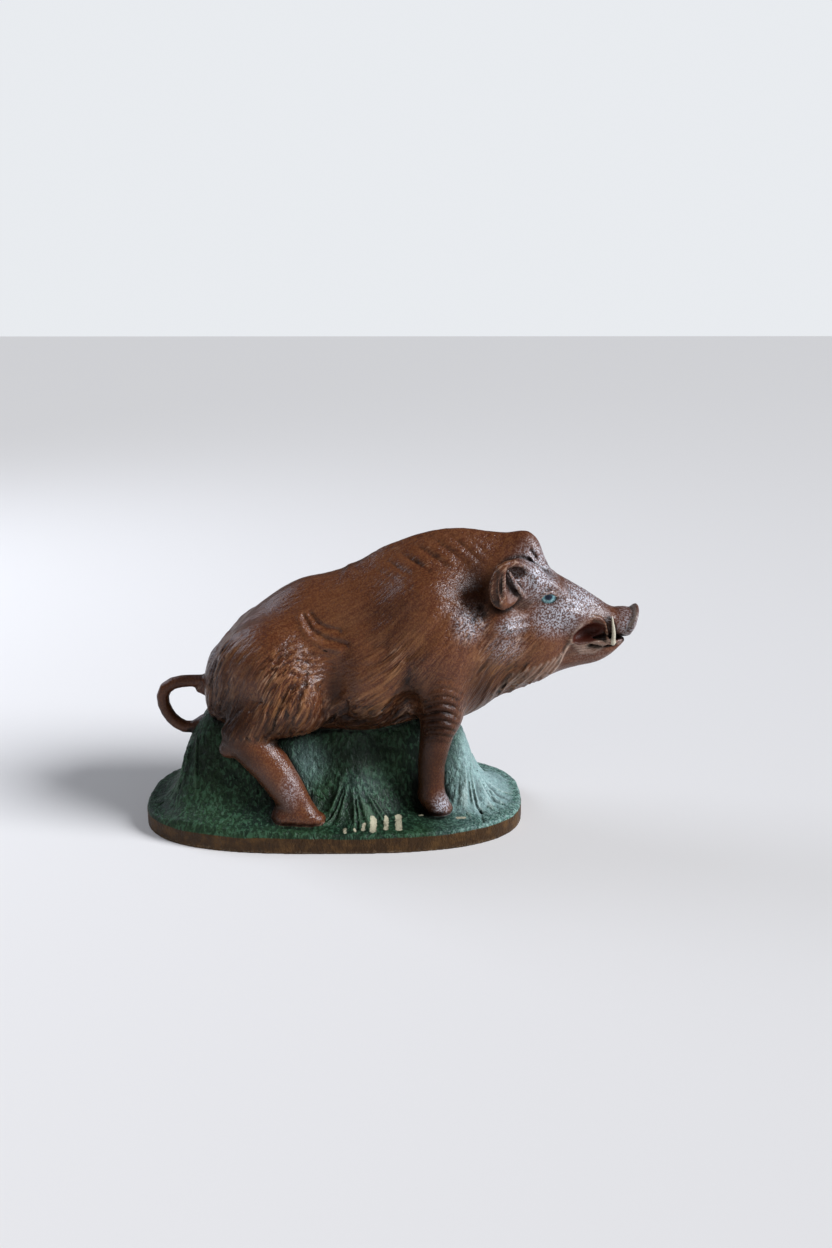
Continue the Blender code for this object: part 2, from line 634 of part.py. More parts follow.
def clay_axes(cell):
    reach = PLINTH_DEPTH / 2 / STEP + 4
    low = np.array([-124.0, -reach, -PLINTH_HEIGHT / STEP - 3.5 * cell])
    high = np.array([196.0, reach, 182.0])
    return low, [np.arange(a, b + cell, cell, dtype=np.float32) for a, b in zip(low, high)]


def work(field, axes, forms, tool, margin=18.0):
    """Adds or cuts each form in the block of clay, only within its reach."""
    for form, soft in forms:
        window = tuple(
            slice(np.searchsorted(a, lo - margin), np.searchsorted(a, hi + margin))
            for a, lo, hi in zip(axes, form.low, form.high)
        )
        x = axes[0][window[0]][:, None, None]
        y = axes[1][window[1]][None, :, None]
        z = axes[2][window[2]][None, None, :]
        field[window] = tool(field[window], form.distance(x, y, z), soft)


def figure_field(axes):
    field = np.full([len(a) for a in axes], 99.0, np.float32)
    body = torso() + head()
    for side, hind_forward, fore_forward in ((NEAR, 0.0, 0.0), (FAR, 7.0, -8.0)):
        body += hind_leg(side, hind_forward) + fore_leg(side, fore_forward)
    work(field, axes, body, joined)
    work(field, axes, armpits(), cut)
    work(field, axes, ears(), joined)
    work(field, axes, ear_hollows() + head_hollows(), cut)
    work(field, axes, ear_folds() + tusks() + eyes() + tail_loop(), joined)
    return field


def ground_field(axes):
    x, y, z = axes[0][:, None, None], axes[1][None, :, None], axes[2][None, None, :]
    plinth = plinth_distance(x, y, z)
    mound = mound_distance(x, y, z)
    skirt = np.maximum(mound, plinth_distance(x, y, np.minimum(z, -PLINTH_EDGE_RADIUS / STEP)) + 1.5)
    return joined(plinth, skirt, 4.0)


def carve(field, axes, relief, cell):
    """Moves the surface of the clay out by the relief, which is read only near the surface."""
    near = np.nonzero(np.abs(field) < 2.6 + cell)
    places = [axis[i] for axis, i in zip(axes, near)]
    slopes = [np.gradient(field, cell, axis=a)[near] for a in range(3)]
    field[near] -= relief(places, slopes)


def clay(cell, lock_width, lock_depth):
    low, axes = clay_axes(cell)
    figure = figure_field(axes)
    carve(figure, axes, lambda p, s: boar_relief(p, s, lock_width, lock_depth), cell)
    ground = ground_field(axes)
    carve(ground, axes, lambda p, s: np.clip(s[2] * 2, 0, 1) * grass_blades(p[0], p[1]), cell)
    return low, joined(ground, figure, 1.2)


def surface(field, low, cell):
    """The skin of the clay, as points in steps and quads."""
    block = openvdb.FloatGrid(3 * cell)
    block.copyFromArray(np.clip(field, -3 * cell, 3 * cell))
    points, quads = block.convertToQuads(isovalue=0.0)
    points = points * cell + low
    floor = -PLINTH_HEIGHT / STEP
    points[:, 2] = np.where(points[:, 2] < floor + 0.5 * cell, floor, points[:, 2])
    return points, quads


def cast_mesh():
    low, field = clay(CLAY_CELL, LOCK_WIDTH, LOCK_DEPTH)
    points, quads = surface(field, low, CLAY_CELL)
    place = points * STEP
    place[:, 2] += PLINTH_HEIGHT
    mesh = bpy.data.meshes.new("boar_on_plinth")
    mesh.from_pydata(place.tolist(), [], quads.tolist())
    mesh.update()
    return mesh


def painted_plaster():
    paint = bpy.data.materials.new("painted_plaster")
    paint.use_nodes = True
    skin = paint.node_tree.nodes["Principled BSDF"]
    skin.inputs["Base Color"].default_value = (0.16, 0.09, 0.055, 1)
    skin.inputs["Roughness"].default_value = 0.42
    skin.inputs["Metallic"].default_value = 0
    return paint


def main():
    for old in list(bpy.data.objects):
        bpy.data.objects.remove(old)
    cast = bpy.data.objects.new("boar_on_plinth", cast_mesh())
    bpy.context.scene.collection.objects.link(cast)
    cast.data.materials.append(painted_plaster())
    facets = cast.modifiers.new("facets", "DECIMATE")
    facets.ratio = FACETS / (2 * len(cast.data.polygons))


main()
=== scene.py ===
# %% [markdown]
# A boar figurine in painted plaster
#
# The real thing is one plaster cast: a wild boar that leans on a grassy mound, on a rounded plinth,
# painted by hand and varnished. The carving is deep and soft, because it was pressed in clay first.
# This lesson models it the same way. Plain forms are melted together in a block of clay, the coat is
# carved into it, the cast is taken as one mesh, and then it is painted in layers.

# %% [markdown]
# The frame
#
# The solid model is the fixed frame for everything. Its box is kept, because the painted cast has to
# stay inside it.

# %% Load the frame
import math
from collections import namedtuple

import bpy
import numpy as np
import openvdb
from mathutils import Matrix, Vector


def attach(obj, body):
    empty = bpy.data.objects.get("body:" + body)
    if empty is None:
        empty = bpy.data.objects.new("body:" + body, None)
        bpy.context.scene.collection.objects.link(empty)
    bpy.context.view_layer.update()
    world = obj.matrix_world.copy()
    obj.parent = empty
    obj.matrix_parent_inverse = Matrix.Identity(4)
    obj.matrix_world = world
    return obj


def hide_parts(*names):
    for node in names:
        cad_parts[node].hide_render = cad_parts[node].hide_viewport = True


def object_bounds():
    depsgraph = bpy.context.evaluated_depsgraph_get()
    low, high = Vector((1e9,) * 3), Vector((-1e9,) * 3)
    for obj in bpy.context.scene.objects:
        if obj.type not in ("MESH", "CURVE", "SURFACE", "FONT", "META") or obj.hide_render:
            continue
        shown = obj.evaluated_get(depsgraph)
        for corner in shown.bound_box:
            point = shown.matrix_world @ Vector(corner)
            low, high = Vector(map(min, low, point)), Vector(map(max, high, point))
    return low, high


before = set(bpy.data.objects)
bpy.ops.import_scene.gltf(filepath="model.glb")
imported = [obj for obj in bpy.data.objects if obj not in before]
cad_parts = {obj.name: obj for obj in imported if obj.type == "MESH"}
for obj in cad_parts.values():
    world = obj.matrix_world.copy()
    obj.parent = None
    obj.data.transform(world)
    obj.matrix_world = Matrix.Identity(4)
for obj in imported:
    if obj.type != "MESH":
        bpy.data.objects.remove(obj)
CAD_BOX = [list(corner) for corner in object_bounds()]
print("solid model from", CAD_BOX[0], "to", CAD_BOX[1])

# %% [markdown]
# The sizes
#
# The figure keeps its pose as shares of its length, so every place on it is a number of steps: x
# towards the snout, out from the middle plane, z up from the top of the plinth. The plinth has real
# sizes of its own.

# %% Sizes in metres and steps
FIGURE_LENGTH = 0.3025
PLINTH_LENGTH = 0.240
PLINTH_DEPTH = 0.125
PLINTH_HEIGHT = 0.011
PLINTH_EDGE_RADIUS = 0.0022
STEPS_IN_LENGTH = 302.5
STEP = FIGURE_LENGTH / STEPS_IN_LENGTH

# The plinth's plan is a superellipse, between an ellipse (2) and a rectangle
PLAN_SQUARENESS = 2.75
NEAR, FAR = -1, 1
Form = namedtuple("Form", "low high distance")
print("one step is", STEP * 1000, "mm")

# %% [markdown]
# Working in clay
#
# Each form is a function that gives the distance to its surface: negative inside, positive outside.
# Metaballs or a sculpted mesh could do the same, but distances let one choose how softly each pair of
# forms melts together, and cut hollows with rounded lips. That is how fingers join clay.

# %% Melt, cut, egg, limb and carcass
def smooth_through(places, values, x):
    """A smooth curve through the given values, read at x, and level beyond its ends."""
    places = np.array(places, np.float32)
    values = np.array(values, np.float32)
    slopes = np.gradient(values, places)
    i = np.clip(np.searchsorted(places, x) - 1, 0, len(places) - 2)
    span = places[i + 1] - places[i]
    t = np.clip((x - places[i]) / span, 0, 1)
    rise = t * t * (3 - 2 * t)
    bend_in = t * (1 - t) ** 2 * span * slopes[i]
    bend_out = t * t * (1 - t) * span * slopes[i + 1]
    return values[i] + (values[i + 1] - values[i]) * rise + bend_in - bend_out


def profile(table, x):
    """The smooth curve through a table's first two columns, read at x."""
    return smooth_through([row[0] for row in table], [row[1] for row in table], x)


def joined(a, b, soft):
    """The union of two forms, with a fillet where they meet."""
    near = np.maximum(soft - np.abs(a - b), 0) / soft
    return np.minimum(a, b) - near * near * soft / 4


def cut(a, b, soft):
    """Form a with form b cut away, with a rounded lip."""
    return -joined(-a, b, soft)


def egg(centre, radii, turn=(0, 0, 0)):
    """An ellipsoid. Turn is in degrees about X, Y and Z."""
    angles = [math.radians(a) for a in turn]
    cx, sx = math.cos(angles[0]), math.sin(angles[0])
    cy, sy = math.cos(angles[1]), math.sin(angles[1])
    cz, sz = math.cos(angles[2]), math.sin(angles[2])
    about_x = np.array([[1, 0, 0], [0, cx, -sx], [0, sx, cx]])
    about_y = np.array([[cy, 0, sy], [0, 1, 0], [-sy, 0, cy]])
    about_z = np.array([[cz, -sz, 0], [sz, cz, 0], [0, 0, 1]])
    back = (about_z @ about_y @ about_x).T.astype(np.float32)

    def distance(x, y, z):
        x, y, z = x - centre[0], y - centre[1], z - centre[2]
        turned = [back[i, 0] * x + back[i, 1] * y + back[i, 2] * z for i in range(3)]
        inner = np.sqrt(sum((q / r) ** 2 for q, r in zip(turned, radii)))
        slope = np.sqrt(sum((q / r**2) ** 2 for q, r in zip(turned, radii)))
        return inner * (inner - 1) / np.maximum(slope, 1e-6)

    reach = max(radii)
    low = [c - reach for c in centre]
    high = [c + reach for c in centre]
    return Form(low, high, distance)


def limb(joints, flat=1.0):
    """A chain of round cones through joints (x, out, z, radius). Flat thickens it sideways."""

    def distance(x, y, z):
        nearest = None
        for (ax, ay, az, ar), (bx, by, bz, br) in zip(joints, joints[1:]):
            dx, dy, dz = bx - ax, (by - ay) / flat, bz - az
            px, py, pz = x - ax, (y - ay) / flat, z - az
            t = np.clip((px * dx + py * dy + pz * dz) / (dx * dx + dy * dy + dz * dz), 0, 1)
            off = np.sqrt((px - t * dx) ** 2 + (py - t * dy) ** 2 + (pz - t * dz) ** 2)
            here = off - (ar + t * (br - ar))
            nearest = here if nearest is None else np.minimum(nearest, here)
        return nearest * min(flat, 1.0)

    reach = [j[3] * max(flat, 1.0) for j in joints]
    low = [min(j[a] - r for j, r in zip(joints, reach)) for a in range(3)]
    high = [max(j[a] + r for j, r in zip(joints, reach)) for a in range(3)]
    return Form(low, high, distance)


def carcass(stations, squareness=2.0):
    """A body along X through stations (x, top, bottom, half width, taper).

    Taper narrows a section towards its top."""
    xs, tops, bottoms, widths, tapers = (np.array(c, float) for c in zip(*stations))

    def distance(x, y, z):
        top = smooth_through(xs, tops, x)
        bottom = smooth_through(xs, bottoms, x)
        half = np.maximum((top - bottom) / 2, 0.3)
        rise = (z - (top + bottom) / 2) / half
        taper = smooth_through(xs, tapers, x)
        width = smooth_through(xs, widths, x) * (1 - taper * np.clip(rise, -1, 1))
        width = np.maximum(width, 0.3)
        side, up = np.abs(y / width), np.abs(rise)
        inner = (side**squareness + up**squareness) ** (1 / squareness)
        slope = np.sqrt((side / width) ** 2 + (up / half) ** 2)
        slope = slope / np.maximum(np.sqrt(side**2 + up**2), 1e-6)
        here = (inner - 1) / np.maximum(slope, 1e-6)
        beyond = np.maximum(xs[0] - x, x - xs[-1])
        return np.maximum(here, beyond)

    low = [xs[0], -widths.max() * 1.4, bottoms.min()]
    high = [xs[-1], widths.max() * 1.4, tops.max()]
    return Form(low, high, distance)


def both_sides(form):
    """The form and its mirror image across the middle plane."""

    def distance(x, y, z):
        return form.distance(x, np.abs(y), z)

    out = max(form.high[1], -form.low[1])
    low = [form.low[0], -out, form.low[2]]
    high = [form.high[0], out, form.high[2]]
    return Form(low, high, distance)


def on_side(side, form, forward=0.0):
    """The form on one side of the middle plane, moved forward by some steps."""

    def distance(x, y, z):
        return form.distance(x - forward, y * side, z)

    edges = sorted((form.low[1] * side, form.high[1] * side))
    low = [form.low[0] + forward, edges[0], form.low[2]]
    high = [form.high[0] + forward, edges[1], form.high[2]]
    return Form(low, high, distance)


# %% [markdown]
# The body, the head and the legs
#
# The trunk and the head are lofted through stations, as a shipwright would draw them, and muscles are
# eggs pressed onto them. Legs and tail are chains of tapering rods. The numbers were read from the
# photo's outline, and the far legs stand a little apart from the near ones, as on the real figure.

# %% Stations of the trunk, mane, muzzle and jaw
# Each station is (x, top, bottom, half width, how far the section narrows towards its top)
TORSO = (
    (-81.0, 82.0, 74.0, 4.0, 0.0),
    (-78.5, 91.0, 62.0, 16.0, 0.10),
    (-71.0, 102.3, 54.0, 26.0, 0.18),
    (-60.0, 114.8, 50.0, 32.0, 0.25),
    (-42.0, 130.3, 49.0, 36.0, 0.28),
    (-20.0, 143.8, 48.5, 37.0, 0.28),
    (0.0, 148.4, 49.5, 38.0, 0.28),
    (20.0, 154.6, 51.5, 40.0, 0.31),
    (40.0, 162.0, 58.0, 40.0, 0.33),
    (60.0, 168.0, 61.0, 38.0, 0.34),
    (80.0, 169.0, 58.0, 33.0, 0.32),
    (92.0, 167.0, 60.5, 29.0, 0.28),
    (104.0, 162.0, 68.5, 25.5, 0.22),
    (116.0, 155.0, 73.5, 21.0, 0.16),
    (126.0, 146.0, 80.0, 15.0, 0.10),
)
MANE = (
    (14.0, 148.0, 130.0, 3.0, 0.3),
    (26.0, 159.6, 128.0, 6.5, 0.3),
    (44.0, 168.2, 130.0, 8.5, 0.3),
    (62.0, 173.8, 134.0, 9.5, 0.3),
    (80.0, 175.6, 136.0, 10.5, 0.3),
    (97.0, 173.8, 138.0, 11.0, 0.3),
    (108.0, 173.0, 140.0, 11.5, 0.25),
    (116.0, 174.0, 142.0, 11.0, 0.2),
    (122.0, 172.8, 144.0, 10.0, 0.15),
    (127.5, 167.0, 144.0, 8.5, 0.1),
    (132.0, 155.5, 146.0, 5.0, 0.0),
)
MUZZLE = (
    (92.0, 150.0, 96.0, 18.0, 0.1),
    (104.0, 160.0, 90.0, 24.0, 0.12),
    (116.0, 157.5, 90.0, 24.5, 0.16),
    (126.0, 152.8, 92.0, 23.5, 0.18),
    (136.0, 148.4, 98.0, 20.5, 0.18),
    (146.0, 143.0, 102.0, 17.0, 0.16),
    (156.0, 137.4, 105.0, 14.4, 0.12),
    (166.0, 130.6, 106.5, 12.4, 0.06),
    (173.0, 126.2, 107.5, 11.2, 0.0),
    (179.0, 124.2, 108.0, 10.2, 0.0),
    (184.0, 124.0, 109.0, 9.6, 0.0),
)
JAW = (
    (108.0, 112.0, 71.5, 20.0, -0.1),
    (118.0, 112.0, 74.0, 19.0, -0.1),
    (127.0, 110.0, 77.5, 17.0, -0.1),
    (137.0, 109.0, 82.3, 14.5, -0.1),
    (147.0, 108.5, 86.2, 12.5, -0.1),
    (156.0, 107.5, 88.4, 11.2, -0.1),
    (165.0, 107.0, 90.4, 10.2, -0.1),
    (173.0, 106.8, 94.8, 8.8, -0.1),
    (179.0, 106.4, 100.5, 6.6, 0.0),
    (182.5, 105.8, 103.8, 3.0, 0.0),
)

# %% The trunk and the head
def torso():
    shoulder = both_sides(egg((62, 23, 112), (27, 19, 38), (0, -12, 0)))
    belly = egg((27, 0, 86), (46, 39.5, 34))
    haunch = both_sides(egg((-36, 22, 88), (34, 20, 35), (0, 16, 0)))
    brisket = both_sides(egg((77.5, 15, 80), (14, 14, 22), (0, 22, 0)))
    return [
        (carcass(TORSO), 0.1),
        (belly, 14),
        (carcass(MANE), 9),
        (shoulder, 16),
        (haunch, 12),
        (brisket, 10),
    ]


def head():
    jowl = both_sides(egg((119, 14, 106), (25, 12.5, 25.5), (0, -12, 0)))
    ruff = both_sides(egg((100, 20, 116), (14, 12, 22), (0, 12, 0)))
    lip = both_sides(egg((147, 10.5, 113), (13, 6.8, 13), (0, -18, 0)))
    brow = both_sides(egg((134, 14.5, 143), (11, 6.5, 4.6), (0, 30, 0)))
    cheekbone = both_sides(egg((140, 13.5, 128), (16, 7, 8), (0, 22, 0)))
    lip_rim = both_sides(limb((
        (146.9, 17.2, 108.7, 1.2), (149.7, 16.8, 115.8, 1.2), (154.4, 15.4, 121.2, 1.3),
        (160, 13.8, 123.0, 1.3),
        (165, 13.0, 121.6, 1.3), (168, 12.8, 118.4, 1.2), (169.8, 12.6, 112, 1.1),
    )))
    lower_lip = both_sides(limb((
        (149.5, 12.6, 107.4, 0.9), (154.4, 12.8, 107.8, 1.3), (160.6, 12.0, 107.4, 1.4),
        (167, 11.4, 105.9, 1.5), (173, 10.4, 105.8, 1.5), (179, 7, 106.4, 1.5),
    )))
    snout = egg((181, 0, 117), (9, 10.4, 8.6), (0, 10, 0))
    rim = egg((186.0, 0, 117.6), (2.9, 12.2, 10.4), (0, 21, 0))
    return [
        (carcass(MUZZLE, 2.2), 9),
        (carcass(JAW, 2.2), 2.5),
        (jowl, 3),
        (ruff, 8),
        (lip, 4),
        (brow, 6),
        (cheekbone, 8),
        (snout, 3),
        (rim, 2.5),
        (lip_rim, 1.8),
        (lower_lip, 1.4),
    ]

# %% The legs
def hind_leg(side, forward):
    thigh = limb(((-34, 26, 94, 24), (-20, 32, 78, 20.5), (-36, 36, 68, 15), (-56, 39, 58, 9)), 0.85)
    knee = egg((-21, 35, 73), (20, 13, 16), (0, -14, 0))
    hock = limb(((-46, 38, 62, 11), (-56, 39, 53.5, 8.4), (-62, 39, 47.6, 5.6)), 0.9)
    cannon = ((-47, 40, 49, 12.5), (-36, 42, 37, 12.0), (-27, 45, 24, 10.8), (-19.5, 47, 11.5, 9.4))
    cannon = limb(cannon, 0.85)
    foot = limb(((-29, 47, 7.0, 7.0), (-13, 48, 6.0, 6.6), (-8.5, 48, 4.6, 5.0)), 1.2)
    return [
        (on_side(side, thigh, forward), 7),
        (on_side(side, knee, forward), 7),
        (on_side(side, hock, forward), 4),
        (on_side(side, cannon, forward), 4),
        (on_side(side, foot, forward), 4),
    ]


def fore_leg(side, forward):
    upper = limb(((62, 26, 104, 20), (65, 31, 84, 15), (67, 32, 66, 12.2)), 0.9)
    lower = ((67, 32, 66, 12.2), (64, 31.5, 50, 9.8), (61.5, 31, 34, 8.4), (61.5, 31, 18, 8.0))
    lower = limb(lower, 0.95)
    foot = limb(((61.5, 31, 13, 8.4), (65, 31, 6.5, 8.2), (67.5, 31, 3.5, 7.0)), 1.1)
    return [
        (on_side(side, upper, forward), 8),
        (on_side(side, lower, forward), 4),
        (on_side(side, foot, forward), 3),
    ]


def armpits():
    hollow = both_sides(egg((44, 41, 66), (9, 13, 17), (0, 16, 0)))
    flank = both_sides(egg((3, 47, 88), (7, 9, 28), (0, 6, 0)))
    return [(hollow, 8), (flank, 10)]

# %% Ears, tail, tusks and eyes
def ears():
    ramp = both_sides(egg((120, 19, 146), (10, 7.2, 12), (0, 10, 0)))
    stalk = both_sides(egg((113, 22, 149), (10, 8, 13)))
    shell = both_sides(egg((105.4, 32.3, 148.4), (12.0, 5.8, 15.0), (0, 18, -32)))
    return [(ramp, 6), (stalk, 6), (shell, 2.5)]


def ear_hollows():
    bowl = both_sides(egg((111.6, 35.4, 148.5), (15.4, 5.6, 13.4), (0, 18, -32)))
    open_front = both_sides(egg((121, 32.5, 146), (8, 5.5, 12)))
    groove = both_sides(limb((
        (100.2, 38.6, 158.5, 1.3), (97.8, 40.0, 153, 2.2), (97.4, 40.0, 146, 2.4),
        (98.8, 39.0, 139.5, 1.8),
        (100.2, 38.0, 135.5, 1.1),
    )))
    top_hollow = both_sides(egg((112.6, 32.5, 154.6), (7.0, 8.0, 4.6), (0, 14, -25)))
    return [(bowl, 1.0), (open_front, 3), (groove, 0.8), (top_hollow, 1)]


def ear_folds():
    middle_fold = both_sides(limb((
        (103.6, 36.0, 160.5, 1.1), (103.2, 37.0, 153, 1.4), (103.4, 37.0, 146, 1.5),
        (103.6, 36.0, 139.5, 1.3),
        (103.4, 35.5, 134.8, 1.1),
    )))
    front_fold = both_sides(limb((
        (106.4, 35.0, 156.5, 1.0), (109.4, 34.0, 151.0, 1.4), (113.4, 31.0, 144.6, 1.6),
        (116.4, 27.5, 139.2, 1.2),
    )))
    top_rim = both_sides(limb((
        (99.5, 36.5, 159.8, 1.3), (104.1, 35.5, 161.6, 1.6), (109.4, 33, 162.2, 1.7),
        (115.3, 29, 159.7, 1.8),
        (118.9, 25.5, 156.1, 1.6),
    )))
    return [(middle_fold, 1.2), (front_fold, 1.6), (top_rim, 1.6)]


def tail_loop():
    """The tail curls out, round and back down to the mound."""
    middle_line = (
        (-72, 77.4), (-80, 77.8), (-90.3, 77.7), (-95.7, 77.4), (-101.4, 76.0), (-106.1, 72.8),
        (-108.3, 67.6), (-108.0, 62.2), (-106.2, 57.2), (-103.6, 52.9), (-100.0, 49.4), (-95.5, 46.8),
        (-89.6, 46.6), (-83, 51),
    )
    rod = limb([(x, 0, z, 3.9) for x, z in middle_line])
    web = limb(((-74, 0, 71, 6.5), (-84.5, 0, 72.2, 2.6)))
    return [(rod, 2), (web, 3)]


def tusks():
    tusk = both_sides(limb((
        (173.8, 12.6, 105.8, 1.4), (173.6, 13.8, 111.5, 1.3), (173.0, 14.2, 117, 1.1),
        (172.0, 13.8, 123.2, 0.6),
    )))
    stub = both_sides(limb(((169.6, 12.8, 109.8, 1.0), (173, 12.4, 106.2, 1.3), (179.5, 8.2, 106.8, 1.1))))
    return [(tusk, 0.6), (stub, 0.6)]


def eyes():
    ball = both_sides(egg((132.0, 19.0, 137.2), (5.6, 3.5, 3.7), (0, 6, -16)))
    upper_lid = both_sides(limb((
        (126.4, 22.4, 137.2, 0.7), (129.0, 22.6, 140.2, 0.9), (133.2, 21.6, 141.0, 1.0),
        (137.4, 20.2, 138.6, 0.9), (141.0, 19.2, 137.6, 0.6),
    )))
    return [(ball, 0.5), (upper_lid, 0.8)]


def head_hollows():
    socket = both_sides(egg((132.4, 24.4, 137.2), (6.6, 3.4, 4.5), (0, 6, -16)))
    mouth = both_sides(egg((158.3, 16.8, 112.9), (10.4, 9.0, 5.6), (0, -18, 0)))
    nostril = both_sides(egg((189.2, 4.6, 117.2), (3.0, 2.3, 2.7)))
    return [(socket, 1.4), (mouth, 1.0), (nostril, 1)]

# %% [markdown]
# The ground
#
# The mound rises steeply under the belly and carries the whole weight of the figure, so that the thin
# legs don't have to. A hummock of grass falls from it to the front edge of the plinth.

# %% Plinth and mound
# The mound's crest is (x, height), and its side wall stands so far out at each x
MOUND = (
    (-119, 0.0), (-112, 1.6), (-106, 5.0), (-101, 11.0), (-97, 20.0), (-94.5, 30.0), (-92, 39.0),
    (-87, 48.0), (-80, 58.0), (-60, 62.0), (0, 58.0), (60, 58.0), (75, 52.0), (82, 43.0),
    (87, 29.0), (94, 14.0), (103, 5.5), (111, 2.0), (119, 0.0),
)
MOUND_WALL = ((-119, 30), (-60, 31), (-20, 31), (10, 27), (45, 20), (62, 17), (80, 19), (119, 26))
MOUND_STEEPNESS = 5

# A hummock of grass in front: (x, y) of its middle, half widths along and across, and height
HUMMOCK = (15, -30, 27, 27, 15)


def plinth_distance(x, y, z):
    long, deep = PLINTH_LENGTH / 2 / STEP, PLINTH_DEPTH / 2 / STEP
    edge, height = PLINTH_EDGE_RADIUS / STEP, PLINTH_HEIGHT / STEP
    n = PLAN_SQUARENESS
    side, up = np.abs(x) / long, np.abs(y) / deep
    inner = np.maximum((side**n + up**n) ** (1 / n), 1e-3)
    slope = np.hypot(side ** (n - 1) / long, up ** (n - 1) / deep) / inner ** (n - 1)
    plan = (inner - 1) / np.maximum(slope, 1e-3)
    outside, above = plan + edge, z + edge
    corner = np.hypot(np.maximum(outside, 0), np.maximum(above, 0))
    here = np.minimum(np.maximum(outside, above), 0) + corner - edge
    return np.maximum(here, -height - z)


def mound_height(x, y):
    crest = profile(MOUND, x)
    wall = profile(MOUND_WALL, x)
    middle_x, middle_y, long, deep, rise = HUMMOCK
    hummock = rise * bump(np.hypot((x - middle_x) / long, (y - middle_y) / deep), 0, 1)
    return crest / (1 + (np.abs(y) / wall) ** MOUND_STEEPNESS) + hummock


def mound_distance(x, y, z):
    probe = 0.5
    height = mound_height(x, y)
    run_x = (mound_height(x + probe, y) - mound_height(x - probe, y)) / (2 * probe)
    run_y = (mound_height(x, y + probe) - mound_height(x, y - probe)) / (2 * probe)
    return (z - height) / np.sqrt(1 + run_x**2 + run_y**2)

# %% [markdown]
# Carving the coat
#
# Hair is carved as rounded locks with sharp furrows between them. A furrow is where smooth noise,
# smeared along the lie of the hair, crosses zero. Image textures couldn't follow the body without a
# seam. Folds, wrinkles and tufts are drawn as strokes on top.

# %% The lie of the hair and its locks
# Relief is in steps, outwards, at points on or near the surface
RANDOM_BLOCK = np.random.default_rng(7).uniform(-1, 1, (32, 32, 32)).astype(np.float32)

# The way the hair lies: (x, z, degrees below the line back to the tail)
HAIR_LIES = (
    (-72, 88, 68), (-62, 110, 52), (-45, 90, 62), (-20, 82, 82), (-30, 62, 76), (-30, 128, 30),
    (0, 140, 22), (10, 112, 22), (0, 102, 6), (-14, 103, 12), (-27, 98, 48), (25, 76, 44),
    (40, 158, 34), (60, 125, 52), (66, 86, 80),
    (85, 115, 62), (86, 150, 48), (96, 170, 40), (92, 70, 60), (110, 92, 52), (122, 108, 46),
    (118, 162, 66), (128, 140, 20), (145, 132, -28), (168, 122, -22), (155, 96, 12),
)


def soft_noise(x, y, z):
    """Smooth random values from -1 to 1, with about one swing to each unit."""
    whole = [np.floor(q).astype(np.int32) for q in (x, y, z)]
    part = [q - w for q, w in zip((x, y, z), whole)]
    part = [p * p * (3 - 2 * p) for p in part]
    near = [w & 31 for w in whole]
    far = [(w + 1) & 31 for w in whole]
    total = 0
    for a in (0, 1):
        for b in (0, 1):
            for c in (0, 1):
                corner = [(far if k else near)[i] for i, k in enumerate((a, b, c))]
                share = [part[i] if k else 1 - part[i] for i, k in enumerate((a, b, c))]
                value = RANDOM_BLOCK[corner[0], corner[1], corner[2]]
                total = total + value * share[0] * share[1] * share[2]
    return total


def hair_direction(places, slopes):
    x, _, z = places
    back, down, weights = 0.0, 0.0, 0.0
    for at_x, at_z, degrees in HAIR_LIES:
        weight = 1 / (120 + (x - at_x) ** 2 + (z - at_z) ** 2) ** 2
        back = back + weight * math.cos(math.radians(degrees))
        down = down + weight * math.sin(math.radians(degrees))
        weights = weights + weight
    back, down = back / weights, down / weights
    size = np.sqrt(sum(s * s for s in slopes)) + 1e-6
    nx, ny, nz = (s / size for s in slopes)
    into = -back * nx - down * nz
    lay = [-back - into * nx, -into * ny, -down - into * nz]
    size = np.sqrt(sum(q * q for q in lay)) + 1e-6
    return [q / size for q in lay]


def hair_locks(places, lay, width, length):
    """Rounded locks with a sharp furrow between them, from 0 in the furrow to 1."""
    samples = 7
    total, weights = 0.0, 0.0
    for k in range(-samples, samples + 1):
        share = 1 - abs(k) / (samples + 1)
        along = k / samples * length / 2
        total = total + share * soft_noise(*((p + along * d) / width for p, d in zip(places, lay)))
        weights += share
    spread = 0.26 * math.sqrt(width / length)
    return np.minimum(np.abs(total / weights) / spread, 1.0)


def bump(x, middle, reach):
    """One at the middle, and smoothly nothing beyond the reach."""
    t = np.clip(1 - np.abs((x - middle) / reach), 0, 1)
    return t * t * (3 - 2 * t)


def stroke_distance(x, z, points):
    nearest = np.full(x.shape, 1e3, np.float32)
    for (ax, az), (bx, bz) in zip(points, points[1:]):
        dx, dz = bx - ax, bz - az
        t = np.clip(((x - ax) * dx + (z - az) * dz) / (dx * dx + dz * dz), 0, 1)
        nearest = np.minimum(nearest, np.hypot(x - ax - t * dx, z - az - t * dz))
    return nearest

# %% Folds, wrinkles, furrows and tufts
# The lower edge of the throat and jaw, as (x, z)
THROAT = ((80, 57), (92, 60), (104, 68), (116, 73.5), (127, 77.5), (137, 82), (148, 86), (160, 89))

FLANK_CREASES = (
    ((-11.4, 128.2), (-6.9, 123.3), (-1.6, 120.8), (6, 119.6)),
    ((-15.5, 127), (-10.4, 119.6), (-2, 115), (11, 112.6)),
)
